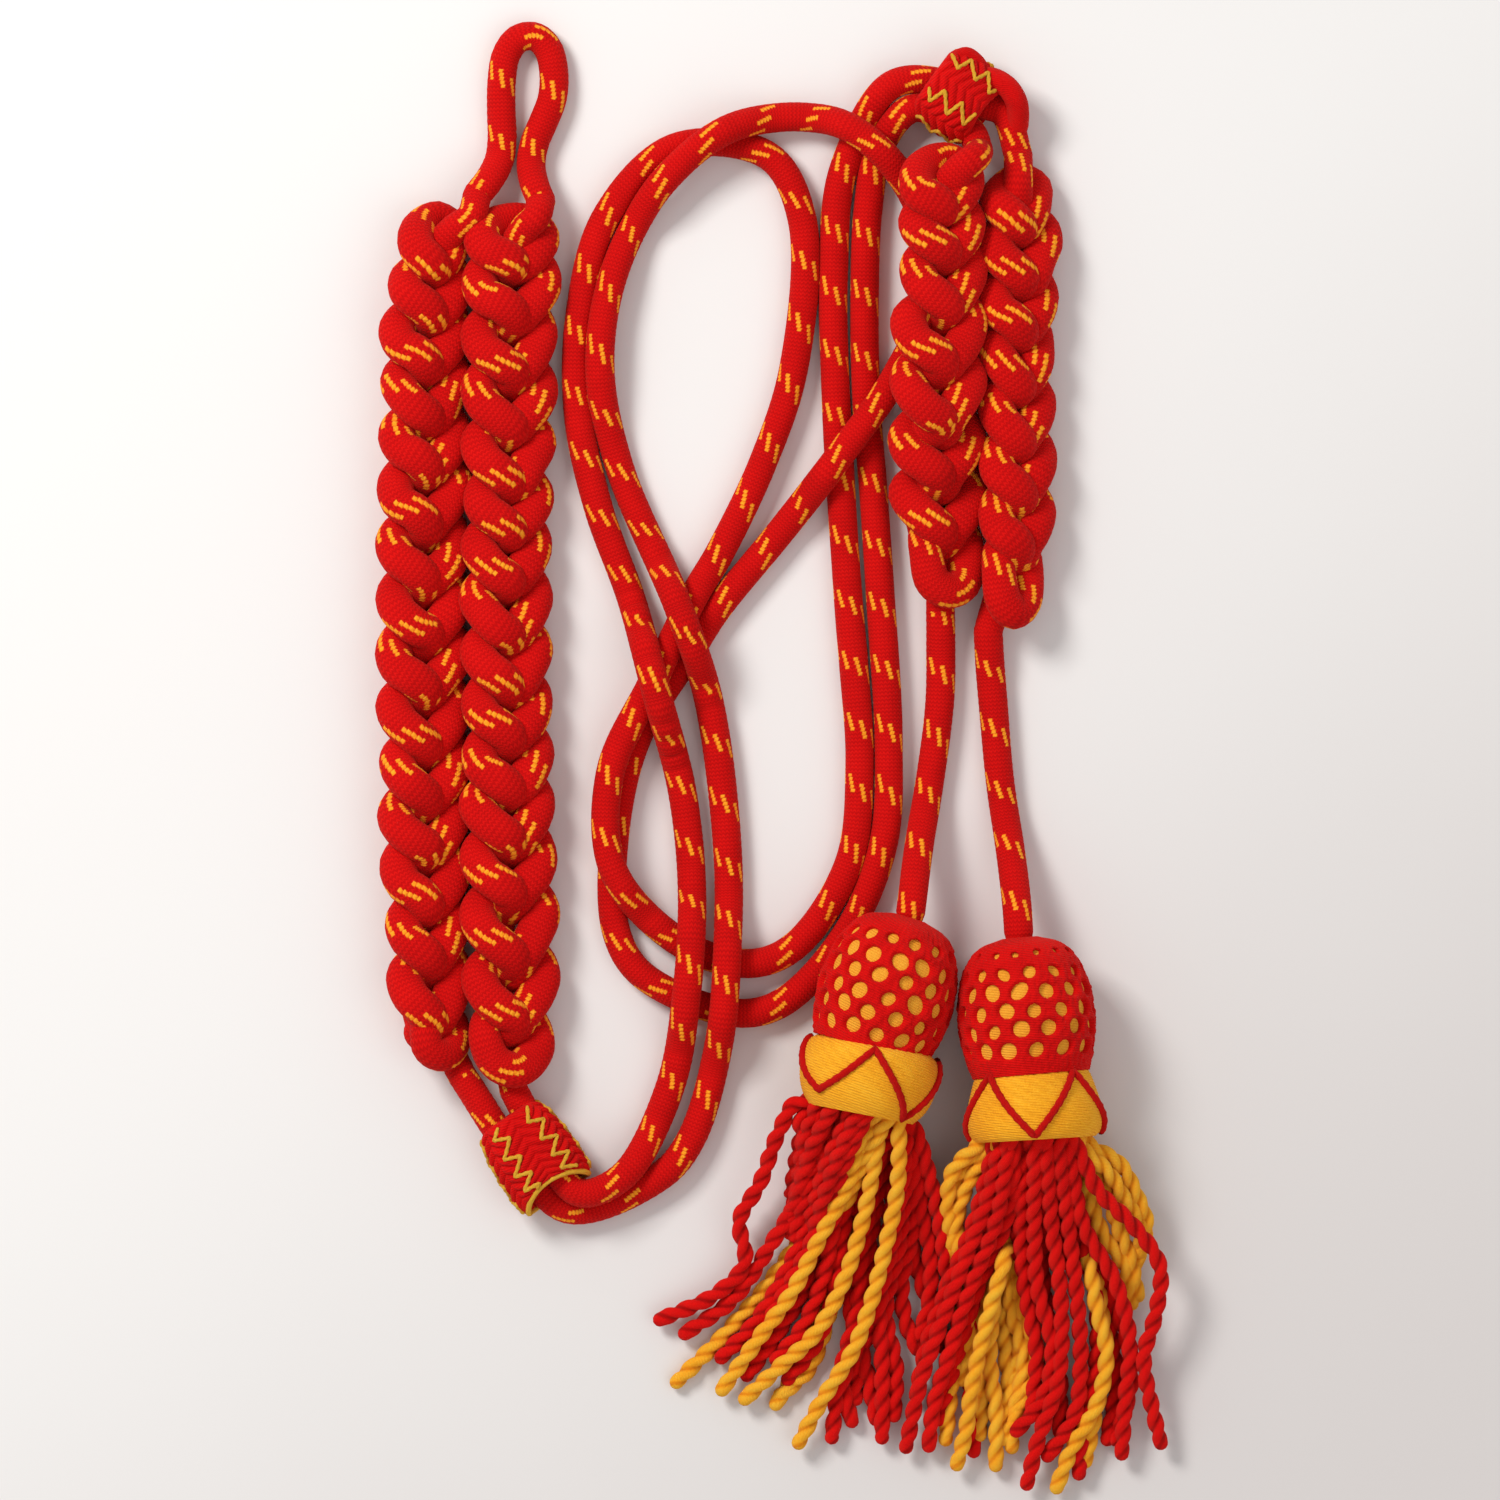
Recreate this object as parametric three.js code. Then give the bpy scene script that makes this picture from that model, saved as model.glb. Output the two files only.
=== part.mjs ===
// Tasselled dress cord of the aiguillette kind, lying flat on a surface.
//
// From the hanging loop at the top left it runs: a long chain plait made of two
// columns, a slide knot, two long free cords that cross each other in an open
// loop, a second slide knot, a short two-column chain plait, and two single
// cords that each end in an acorn: a netted head, a wrapped collar and a fringe
// of twisted strands.
//
// Millimetres, +Z up, the surface is z = 0. +Y points to the hanging loop end,
// +X from the long plait towards the tassels. All plan positions are measured
// from the middle of the laid-out cord.

import * as THREE from 'three';

// ---------------------------------------------------------------- sizes, mm
const CORD_DIAMETER = 7.0;            // round knitted cord
const CORD_BODY_RADIUS = 3.0;         // its plain solid stays inside the soft surface
const CORD_SIDES = 8;
const CORD_STEP = 24.0;               // one section for each 24 mm of cord,
const CORD_TURN = 42;                 // and one more for each 42 degrees of bend
const MIDDLE = { x: -0.31, y: -1.48 };  // plan middle of the object in table coordinates

const PLAIT_THICKNESS = 15.0;         // two cord layers and a little more
const PLAIT_NOTCH_SIDE = 2.2;         // how far a side pulls in between two lobes
const PLAIT_NOTCH_TOP = 1.8;          // how far the top drops between two lobes
const PLAIT_CHEVRON = 3.4;            // each stitch is a V with its point down the column
const PLAIT_SEAM_GAP = 0.4;           // between the two columns of a plait
const PLAIT_SIDES = 12;

const SLEEVE_FLATTEN = 0.803;         // a slide knot is wider than it is high
const SLEEVE_SIDES = 16;
const SLEEVE_CENTRE_Z = 7.9;

const ACORN_SIDES = 16;
const ACORN_RISE = 0.04;              // the collar is thicker, so the axis climbs towards it
const ACORN_Z = 15.8;                 // height of the axis at the cord end of the head
const HEAD_LENGTH = 31.4;
const COLLAR_LENGTH = 15.9;
const PIECE_GAP = 0.3;
const FRINGE_SIDES = 14;

// ---------------------------------------------------------------- materials
const material = (color, roughness) => new THREE.MeshStandardMaterial({ color, roughness, metalness: 0 });
const RED = 0xd01217;
const YELLOW = 0xf2a722;

// ------------------------------------------------------------- free cords
// plan: [x, y] of the centre line. height: [distance along, z of the centre
// line]; the cord lies on the surface at 3.5 and humps over what it crosses.
const CORDS = {
  cord_run_right: {
    plan: [
      [-74.6, -73.9], [-61.3, -93.8], [-49.0, -106.3], [-27.0, -98.3], [-19.4, -89.2], [-12.7, -66.2],
      [-10.6, -42.3], [-10.7, -18.3], [-15.3, 17.3], [-22.8, 40.1], [-36.8, 73.3], [-41.4, 96.8],
      [-37.8, 120.4], [-26.4, 141.4], [-7.3, 155.6], [16.1, 155.9], [33.5, 139.8], [39.1, 116.9],
      [30.1, 95.1], [16.3, 75.5], [1.5, 56.6], [-13.7, 38.0], [-20.1, 27.8], [-32.6, 7.4],
      [-37.9, -16.0], [-37.4, -39.6], [-31.1, -49.7], [-9.3, -58.8], [2.3, -56.5], [17.9, -39.9],
      [27.0, -17.9], [28.3, 6.1], [26.3, 42.0], [24.7, 66.0], [22.9, 89.9], [22.5, 113.9],
      [23.4, 136.0], [26.2, 150.5], [34.0, 159.6], [43.0, 157.0], [49.3, 153.4], [52.3, 148.6],
    ],
    height: [
      [0, 7.0], [16, 7.6], [36, 6.0], [46, 3.7], [94, 3.9], [110, 10.7], [122, 10.6], [140, 3.6], [184, 4.0],
      [188, 5.5], [200, 13.4], [204, 14.5], [210, 13.2], [222, 5.2], [228, 3.6], [250, 3.5], [274, 7.6],
      [290, 6.8], [306, 4.2], [319, 8.4], [336, 10.6], [352, 5.0], [358, 5.0], [370, 10.7], [378, 10.9],
      [398, 3.5], [428, 3.5], [434, 4.6], [446, 10.0], [466, 9.9], [478, 4.5], [484, 3.5], [858, 3.9],
      [868, 6.4], [880, 6.6], [892, 9.6],
    ],
  },
  cord_run_left: {
    plan: [
      [-62.2, -77.4], [-53.8, -93.1], [-46.4, -102.0], [-35.7, -97.9], [-24.6, -77.0], [-20.4, -53.5],
      [-19.2, -29.5], [-21.5, -5.7], [-27.4, 17.5], [-33.7, 40.7], [-41.8, 63.2], [-46.8, 86.5],
      [-46.2, 110.4], [-40.0, 133.5], [-23.4, 150.3], [-0.8, 148.3], [7.4, 132.9], [5.4, 97.1],
      [-2.0, 74.3], [-12.3, 52.7], [-18.4, 42.4], [-28.8, 20.8], [-38.9, -0.9], [-38.0, -24.5],
      [-22.1, -41.8], [-5.2, -46.9], [5.8, -42.5], [18.7, -22.7], [21.3, 1.0], [19.9, 25.0],
      [18.9, 36.9], [17.2, 60.8], [15.3, 96.7], [15.0, 120.7], [17.3, 144.5], [28.6, 165.0],
      [39.5, 166.1], [50.2, 160.7], [56.1, 158.5], [59.5, 148.3],
    ],
    height: [
      [0, 7.0], [28, 9.7], [40, 8.6], [58, 3.5], [68, 3.5], [74, 4.5], [86, 10.2], [92, 11.0], [102, 10.2],
      [114, 4.5], [120, 3.5], [144, 4.2], [148, 6.0], [152, 8.9], [156, 12.4], [160, 15.3], [166, 16.4],
      [172, 14.7], [180, 8.5], [184, 5.7], [188, 4.1], [435, 3.9], [453, 7.9], [465, 9.3], [495, 9.2],
      [515, 10.3], [519, 9.7], [531, 4.5], [537, 3.5], [773, 3.9], [783, 6.4], [827, 7.0],
    ],
  },
  hanging_loop: {
    plan: [
      [-70.9, 138.6], [-68.2, 142.1], [-65.8, 147.1], [-65.1, 152.4], [-65.3, 159.2], [-65.2, 166.4],
      [-64.1, 172.7], [-61.2, 176.6], [-57.1, 177.1], [-54.0, 174.2], [-52.6, 168.4], [-53.0, 162.1],
      [-55.2, 156.3], [-57.3, 151.2], [-58.1, 145.9], [-57.1, 140.9], [-55.6, 137.2],
    ],
    height: [[0, 8.5], [14, 3.6], [18, 3.5], [80, 3.5], [84, 3.6], [97, 8.0]],
  },
  tassel_cord_left: {
    plan: [[40.8, 38.0], [40.9, 31.3], [40.7, 16.8], [38.3, -2.5], [35.4, -19.4], [33.4, -34.4]],
    height: [[0, 5.6], [12, 3.5], [40, 3.5], [73, 15.2]],
  },
  tassel_cord_right: {
    plan: [[52.3, 33.2], [52.7, 26.4], [53.5, 16.8], [55.2, -2.5], [57.6, -19.4], [59.0, -32.7], [59.4, -39.2]],
    height: [[0, 5.6], [12, 3.5], [40, 3.5], [73, 15.2]],
  },
};

// ------------------------------------------------------------- chain plaits
// One row for each stitch of a column: [y of its middle, x of its outer edge,
// z of its underside]. seam is the x where the two columns of a plait meet.
const PLAITS = {
  long_plait_left: {
    seam: -73.3, side: -1,
    stitches: [
      [127.6, -90.4, 0], [116.5, -92.1, 0], [104.4, -94.3, 0], [91.4, -94.0, 0], [79.3, -94.7, 0], [65.8, -95.2, 0],
      [52.3, -95.5, 0], [39.2, -95.5, 0], [26.0, -95.5, 0], [12.9, -95.5, 0], [-0.1, -94.5, 0], [-12.4, -95.0, 0],
      [-25.7, -94.3, 0], [-39.0, -93.3, 0], [-53.7, -92.6, 0], [-65.0, -88.5, 0],
    ],
  },
  long_plait_right: {
    seam: -73.3, side: 1,
    stitches: [
      [127.6, -50.8, 0], [115.8, -50.6, 0], [102.5, -51.1, 0], [89.2, -51.5, 0], [75.9, -52.0, 0], [64.6, -52.7, 0],
      [52.3, -53.0, 0], [39.0, -52.7, 0], [26.7, -52.7, 0], [14.4, -52.5, 0], [2.3, -52.3, 0], [-10.0, -52.0, 0],
      [-23.3, -51.5, 0], [-39.0, -51.1, 0], [-53.2, -51.1, 0], [-66.5, -52.0, 0],
    ],
  },
  // the upper half of this column lies across the right-hand cord run
  short_plait_left: {
    seam: 50.8, side: -1,
    stitches: [
      [140.6, 30.0, 9.6], [129.5, 30.3, 8.6], [118.0, 30.8, 7.6], [104.4, 29.0, 9.4],
      [90.6, 28.6, 9.2], [77.4, 28.1, 3.4], [63.9, 28.8, 0], [50.2, 31.5, 0],
    ],
  },
  short_plait_right: {
    seam: 50.8, side: 1,
    stitches: [
      [137.6, 67.6, 0], [124.8, 70.1, 0], [112.3, 69.4, 0], [99.3, 68.6, 0],
      [85.8, 68.4, 0], [72.8, 68.9, 0], [60.0, 68.7, 0], [46.6, 66.4, 0],
    ],
  },
};

// -------------------------------------------------------------- slide knots
// start and end of the barrel's axis in plan; profile: [distance, outer radius]
const SLEEVES = {
  slide_knot_a: { start: [-63.3, -85.0], end: [-52.0, -101.2], profile: [[0, 8.7], [2, 9.3], [10, 9.7], [17.8, 9.7], [19.8, 9.2]] },
  slide_knot_b: { start: [37.6, 162.9], end: [50.3, 157.1], profile: [[0, 9.0], [1.6, 9.6], [7, 9.8], [12.4, 9.6], [14.0, 9.0]] },
};
const SLEEVE_BORE = 7.8;              // half the width of the way through, for two cords side by side

// ------------------------------------------------------------------- acorns
// top: where the cord goes in; aim: plan direction from there to the fringe
const ACORNS = {
  left: { top: [33.0, -35.6], aim: [-0.289, -0.957] },
  right: { top: [59.5, -40.4], aim: [0.088, -0.996] },
};
// [radius, distance from the cord end]
const HEAD_PROFILE = [[4.6, 0], [9.6, 2.0], [13.5, 5.8], [15.9, 11.5], [16.6, 18.0], [16.5, 22.5], [15.6, 27.3], [14.3, HEAD_LENGTH]];
const COLLAR_PROFILE = [[15.2, 0], [16.9, 1.9], [17.5, 6.5], [17.5, 10.5], [16.6, 14.6], [15.2, COLLAR_LENGTH]];

// ------------------------------------------------------------------ fringes
// Each row is a section across the strands, from the collar to the tips:
// [x and y of its left end, x and y of its right end, z of its underside, z of its top].
const FRINGES = {
  left: [
    [5.4, -78.4, 33.0, -86.8, 2.4, 32.0], [2.7, -83.8, 35.6, -92.8, 0.4, 30.5], [-0.6, -91.9, 38.3, -101.5, 0, 27.5],
    [-4.7, -101.5, 40.2, -112.4, 0, 23.0], [-9.3, -111.6, 40.8, -123.2, 0, 18.5], [-16.1, -121.3, 39.2, -132.4, 0, 15.0],
    [-24.8, -131.0, 35.6, -143.0, 0, 12.0], [-22.6, -140.6, 32.2, -152.7, 0, 10.0], [-11.9, -152.2, 30.2, -160.9, 0, 8.5],
    [6.9, -163.3, 28.8, -165.4, 0, 7.0],
  ],
  right: [
    [49.4, -91.6, 79.0, -89.5, 2.4, 32.0], [45.9, -97.2, 84.0, -96.7, 0.4, 30.5], [43.2, -105.1, 89.0, -106.3, 0, 27.5],
    [42.6, -114.8, 92.1, -117.2, 0, 23.0], [42.3, -125.6, 94.5, -128.1, 0, 18.5], [40.4, -137.2, 92.9, -140.1, 0, 15.0],
    [36.0, -148.3, 92.6, -151.0, 0, 12.0], [32.4, -158.0, 93.9, -159.4, 0, 10.0], [31.4, -165.5, 93.4, -165.5, 0, 8.5],
    [41.9, -171.5, 79.3, -173.9, 0, 7.0],
  ],
};

// ================================================================ geometry

/** Turns a closed triangle soup so that its faces point outwards. */
function outward(geometry) {
  const p = geometry.getAttribute('position');
  const index = geometry.getIndex();
  const count = index ? index.count : p.count;
  const at = (i) => new THREE.Vector3().fromBufferAttribute(p, index ? index.getX(i) : i);
  let volume = 0;
  for (let i = 0; i < count; i += 3) volume += at(i).dot(at(i + 1).cross(at(i + 2)));
  if (volume < 0) {
    if (index) {
      for (let i = 0; i < count; i += 3) {
        const keep = index.getX(i);
        index.setX(i, index.getX(i + 2));
        index.setX(i + 2, keep);
      }
    } else {
      for (let i = 0; i < count; i += 3) {
        const a = at(i);
        const c = at(i + 2);
        p.setXYZ(i, c.x, c.y, c.z);
        p.setXYZ(i + 2, a.x, a.y, a.z);
      }
    }
  }
  geometry.deleteAttribute('normal');
  geometry.computeVertexNormals();
  return geometry;
}

/** A regular polygon of unit radius with a flat at the bottom. */
function unitPolygon(sides) {
  const shape = new THREE.Shape();
  for (let i = 0; i < sides; i++) {
    const a = -Math.PI / 2 + ((i + 0.5) * 2 * Math.PI) / sides;
    if (i) shape.lineTo(Math.cos(a), Math.sin(a));
    else shape.moveTo(Math.cos(a), Math.sin(a));
  }
  shape.closePath();
  return shape;
}

/** A closed body through a row of sections; place(k, u, v) puts the unit polygon's point (u, v) of section k. */
function loft(sectionCount, sides, place) {
  const geometry = new THREE.ExtrudeGeometry(unitPolygon(sides), {
    depth: sectionCount - 1, steps: sectionCount - 1, bevelEnabled: false,
  });
  const p = geometry.getAttribute('position');
  for (let i = 0; i < p.count; i++) {
    const v = place(Math.round(p.getZ(i)), p.getX(i), p.getY(i));
    p.setXYZ(i, v.x, v.y, v.z);
  }
  return outward(geometry);
}

const smooth = (t) => t * t * (3 - 2 * t);

/** The centre line of a free cord: a smooth plan curve, with its height eased between the rows of a table. */
class Route extends THREE.Curve {
  constructor({ plan, height }) {
    super();
    this.flat = new THREE.CatmullRomCurve3(plan.map(([x, y]) => new THREE.Vector3(x, y, 0)), false, 'centripetal');
    this.flat.arcLengthDivisions = plan.length * 24;
    this.height = height;
    this.flatLength = this.flat.getLength();
    this.arcLengthDivisions = 1200;
  }

  getPoint(t, target = new THREE.Vector3()) {
    target.copy(this.flat.getPointAt(Math.min(Math.max(t, 0), 1)));
    const s = t * this.height.at(-1)[0];
    let k = 0;
    while (k < this.height.length - 2 && s > this.height[k + 1][0]) k++;
    const [s0, z0] = this.height[k];
    const [s1, z1] = this.height[k + 1];
    const u = Math.min(Math.max((s - s0) / (s1 - s0), 0), 1);
    target.z = z0 + (z1 - z0) * smooth(u);
    return target;
  }

  /** Sections stand closer together where the cord bends. */
  weights(divisions = 1200) {
    if (this.sums) return this.sums;
    const points = [];
    for (let i = 0; i <= divisions; i++) points.push(this.getPoint(i / divisions));
    this.sums = [0];
    for (let i = 1; i <= divisions; i++) {
      const step = points[i].clone().sub(points[i - 1]);
      const next = points[Math.min(i + 1, divisions)].clone().sub(points[i]);
      const turn = next.lengthSq() > 1e-9 ? THREE.MathUtils.radToDeg(step.angleTo(next)) : 0;
      this.sums.push(this.sums[i - 1] + step.length() / CORD_STEP + turn / CORD_TURN);
    }
    return this.sums;
  }

  getUtoTmapping(u) {
    const sums = this.weights();
    const aim = u * sums.at(-1);
    let lo = 0;
    let hi = sums.length - 1;
    while (hi - lo > 1) {
      const mid = (lo + hi) >> 1;
      if (sums[mid] <= aim) lo = mid;
      else hi = mid;
    }
    return (lo + (aim - sums[lo]) / (sums[hi] - sums[lo])) / (sums.length - 1);
  }
}

function cordGeometry(table) {
  const route = new Route(table);
  const section = new THREE.Shape();
  for (let i = 0; i < CORD_SIDES; i++) {
    const a = ((i + 0.5) * 2 * Math.PI) / CORD_SIDES;
    if (i) section.lineTo(CORD_BODY_RADIUS * Math.cos(a), CORD_BODY_RADIUS * Math.sin(a));
    else section.moveTo(CORD_BODY_RADIUS * Math.cos(a), CORD_BODY_RADIUS * Math.sin(a));
  }
  section.closePath();
  return outward(new THREE.ExtrudeGeometry(section, {
    steps: Math.max(4, Math.round(route.weights().at(-1))),
    extrudePath: route,
    bevelEnabled: false,
  }));
}

/** One column of a chain plait: three sections for each stitch, swept into V shapes. */
function plaitGeometry({ seam, side, stitches }) {
  const inner = seam + side * PLAIT_SEAM_GAP;
  const sections = [];
  const add = (y, outer, innerNotch, base, height, chevron) => {
    const a = inner + side * innerNotch;
    sections.push({ y, x: (a + outer) / 2, half: Math.abs(outer - a) / 2, base, height, chevron });
  };
  stitches.forEach(([y, outer, base], i) => {
    const above = i ? (stitches[i - 1][0] - y) / 2 : 6.2;
    const below = i < stitches.length - 1 ? (y - stitches[i + 1][0]) / 2 : 6.2;
    const pull = i ? PLAIT_NOTCH_SIDE : 4.0;
    const prevOuter = i ? (stitches[i - 1][1] + outer) / 2 : outer;
    const prevBase = i ? (stitches[i - 1][2] + base) / 2 : base;
    add(y + above, prevOuter - side * pull, i ? 0.8 : 3.5, prevBase, PLAIT_THICKNESS - (i ? PLAIT_NOTCH_TOP : 3.4), i ? PLAIT_CHEVRON : 0);
    add(y + above * 0.45, outer, 0, base, PLAIT_THICKNESS, i ? PLAIT_CHEVRON : PLAIT_CHEVRON / 2);
    add(y - below * 0.45, outer, 0, base, PLAIT_THICKNESS, PLAIT_CHEVRON);
    if (i === stitches.length - 1) add(y - below, outer - side * 5.0, 4.5, base, PLAIT_THICKNESS - 3.4, 0);
  });
  return loft(sections.length, PLAIT_SIDES, (k, u, v) => {
    const s = sections[k];
    const half = s.height / 2;
    // fuller than an ellipse, and flat where it rests
    const bulge = Math.sign(v) * Math.pow(Math.abs(v), 0.85);
    return new THREE.Vector3(
      s.x + s.half * u,
      s.y + s.chevron * (Math.abs(u) - 0.5),
      Math.max(s.base, s.base + half + (half + 0.4) * bulge - 0.4),
    );
  });
}

/** Places a turned piece: its local +Y goes along the given plan direction, rising by rise. */
function lay(object, [x, y], z, [dx, dy], rise) {
  const along = new THREE.Vector3(dx, dy, rise).normalize();
  const up = new THREE.Vector3(0, 0, 1).addScaledVector(along, -along.z).normalize();
  const across = new THREE.Vector3().crossVectors(along, up);
  object.quaternion.setFromRotationMatrix(new THREE.Matrix4().makeBasis(across, along, up));
  object.position.set(x, y, z);
  return object;
}

function turned(profile, sides) {
  const points = profile.map(([r, s]) => new THREE.Vector2(r, s));
  return outward(new THREE.LatheGeometry(points, sides, Math.PI / sides, 2 * Math.PI));
}

/** A slide knot: an open barrel, a little wider than high. */
function sleeveGeometry({ profile }) {
  const last = profile.at(-1)[0];
  const ring = [
    [SLEEVE_BORE, 0], ...profile.map(([s, r]) => [r, s]), [SLEEVE_BORE, last], [SLEEVE_BORE, last / 2], [SLEEVE_BORE, 0],
  ];
  const geometry = turned(ring, SLEEVE_SIDES);
  geometry.scale(1, 1, SLEEVE_FLATTEN);
  return geometry;
}

/** The outer form of all the strands below a collar: a bundle that spreads and settles on the surface. */
function fringeGeometry(rows) {
  return loft(rows.length, FRINGE_SIDES, (k, u, v) => {
    const [lx, ly, rx, ry, bottom, top] = rows[k];
    const bulge = Math.sign(v) * Math.pow(Math.abs(v), 0.9);
    const middle = (bottom + top) / 2;
    return new THREE.Vector3(
      (lx + rx) / 2 + ((rx - lx) / 2) * u,
      (ly + ry) / 2 + ((ry - ly) / 2) * u,
      Math.max(bottom, middle + ((top - bottom) / 2) * 1.04 * bulge),
    );
  });
}

// ================================================================ assembly
const aiguillette = new THREE.Group();
const laidOut = new THREE.Group();
laidOut.position.set(-MIDDLE.x, -MIDDLE.y, 0);
aiguillette.add(laidOut);

function piece(name, geometry, color, roughness) {
  const mesh = new THREE.Mesh(geometry, material(color, roughness));
  mesh.name = name;
  return mesh;
}

for (const [name, table] of Object.entries(CORDS)) {
  laidOut.add(piece(name, cordGeometry(table), RED, 0.85));
}
for (const [name, table] of Object.entries(PLAITS)) {
  laidOut.add(piece(name, plaitGeometry(table), RED, 0.88));
}
for (const [name, table] of Object.entries(SLEEVES)) {
  const [x0, y0] = table.start;
  const [x1, y1] = table.end;
  const mesh = piece(name, sleeveGeometry(table), RED, 0.9);
  laidOut.add(lay(mesh, table.start, SLEEVE_CENTRE_Z, [x1 - x0, y1 - y0], 0));
}
for (const [side, { top, aim }] of Object.entries(ACORNS)) {
  const acorn = lay(new THREE.Group(), top, ACORN_Z, aim, ACORN_RISE);
  const head = piece(`acorn_head_${side}`, turned([[0, 0], ...HEAD_PROFILE, [0, HEAD_LENGTH]], ACORN_SIDES), RED, 0.9);
  const collar = piece(`acorn_collar_${side}`, turned([[0, 0], ...COLLAR_PROFILE, [0, COLLAR_LENGTH]], ACORN_SIDES), YELLOW, 0.8);
  collar.position.y = HEAD_LENGTH + PIECE_GAP;
  acorn.add(head, collar);
  laidOut.add(acorn);
  laidOut.add(piece(`fringe_${side}`, fringeGeometry(FRINGES[side]), RED, 0.9));
}

export default aiguillette;
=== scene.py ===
import math

import bpy
import numpy as np
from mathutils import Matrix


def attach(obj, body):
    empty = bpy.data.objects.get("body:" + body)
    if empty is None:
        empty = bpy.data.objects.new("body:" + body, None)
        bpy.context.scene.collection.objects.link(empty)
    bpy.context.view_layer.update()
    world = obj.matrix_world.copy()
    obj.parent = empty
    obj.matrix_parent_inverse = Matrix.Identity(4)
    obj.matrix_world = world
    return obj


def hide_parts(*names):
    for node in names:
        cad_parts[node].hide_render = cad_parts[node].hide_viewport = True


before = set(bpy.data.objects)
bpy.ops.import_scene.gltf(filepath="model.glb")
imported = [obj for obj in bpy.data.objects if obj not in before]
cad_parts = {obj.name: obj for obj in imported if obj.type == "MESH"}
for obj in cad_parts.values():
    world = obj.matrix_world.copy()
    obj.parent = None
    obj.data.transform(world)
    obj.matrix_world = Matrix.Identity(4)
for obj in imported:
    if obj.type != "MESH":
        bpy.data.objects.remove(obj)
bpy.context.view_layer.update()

RNG = np.random.default_rng(11)

MIDDLE = (-0.31, -1.48)          # plan middle of the object in table coordinates
CORD_D = 7.0                     # round knitted cord
CORD_R = CORD_D / 2


def to_world(points):
    """Table millimetres to metres in the row frame."""
    p = np.asarray(points, float).reshape(-1, 3).copy()
    p[:, 0] -= MIDDLE[0]
    p[:, 1] -= MIDDLE[1]
    return p / 1000.0


# ------------------------------------------------------------------ camera
PICTURE_WIDTH_MM = 362.1
CAMERA_HEIGHT = 2.2
camera_data = bpy.data.cameras.new("camera")
camera = bpy.data.objects.new("camera", camera_data)
bpy.context.scene.collection.objects.link(camera)
camera_data.sensor_width = 36.0
camera_data.lens = 36.0 * (CAMERA_HEIGHT - 0.006) * 1000 / PICTURE_WIDTH_MM
camera_data.clip_end = 20
camera.location = (-0.00488, 0.00619, CAMERA_HEIGHT)
camera.rotation_euler = (0, 0, 0)
bpy.context.scene.camera = camera
bpy.context.scene.view_settings.view_transform = "Standard"


# ---------------------------------------------------------------- curve maths
def catmull(P, n=16):
    """Centripetal Catmull-Rom curve through the rows of P."""
    P = np.asarray(P, float)
    Q = np.vstack([2 * P[0] - P[1], P, 2 * P[-1] - P[-2]])
    out = []
    for i in range(1, len(Q) - 2):
        p0, p1, p2, p3 = Q[i - 1], Q[i], Q[i + 1], Q[i + 2]
        t1 = np.linalg.norm(p1 - p0) ** 0.5
        t2 = t1 + np.linalg.norm(p2 - p1) ** 0.5
        t3 = t2 + np.linalg.norm(p3 - p2) ** 0.5
        t = np.linspace(t1, t2, n, endpoint=False)[:, None]
        A1 = (t1 - t) / t1 * p0 + t / t1 * p1
        A2 = (t2 - t) / (t2 - t1) * p1 + (t - t1) / (t2 - t1) * p2
        A3 = (t3 - t) / (t3 - t2) * p2 + (t - t2) / (t3 - t2) * p3
        B1 = (t2 - t) / t2 * A1 + t / t2 * A2
        B2 = (t3 - t) / (t3 - t1) * A2 + (t - t1) / (t3 - t1) * A3
        out.append((t2 - t) / (t2 - t1) * B1 + (t - t1) / (t2 - t1) * B2)
    out.append(Q[-2][None])
    return np.vstack(out)


def distance_along(line):
    return np.concatenate([[0.0], np.cumsum(np.linalg.norm(np.diff(line, axis=0), axis=1))])


def resample(line, step):
    s = distance_along(line)
    n = max(2, int(round(s[-1] / step)))
    t = np.linspace(0, s[-1], n + 1)
    return np.column_stack([np.interp(t, s, line[:, k]) for k in range(line.shape[1])])


def eased(s, rows):
    """Height table: eased between rows of (distance, height)."""
    S = np.array([r[0] for r in rows], float)
    Z = np.array([r[1] for r in rows], float)
    k = np.clip(np.searchsorted(S, s, side="right") - 1, 0, len(S) - 2)
    u = np.clip((s - S[k]) / (S[k + 1] - S[k]), 0, 1)
    u = u * u * (3 - 2 * u)
    return Z[k] * (1 - u) + Z[k + 1] * u


def route(plan, height):
    """The centre line of a free cord from its plan and height tables."""
    flat = resample(catmull(np.array(plan, float), 24), 1.0)
    s = distance_along(flat)
    z = eased(s / s[-1] * height[-1][0], height)
    return np.column_stack([flat, z])


def frames(line):
    """Tangents and a pair of normals carried along the line without twist."""
    t = np.gradient(line, axis=0)
    t /= np.linalg.norm(t, axis=1)[:, None] + 1e-12
    n = np.zeros_like(t)
    ref = np.array([0.0, 0.0, 1.0])
    if abs(t[0] @ ref) > 0.9:
        ref = np.array([1.0, 0.0, 0.0])
    v = ref - t[0] * (t[0] @ ref)
    n[0] = v / np.linalg.norm(v)
    for i in range(1, len(t)):
        v = n[i - 1] - t[i] * (n[i - 1] @ t[i])
        n[i] = v / (np.linalg.norm(v) + 1e-12)
    return t, n, np.cross(t, n)


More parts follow.
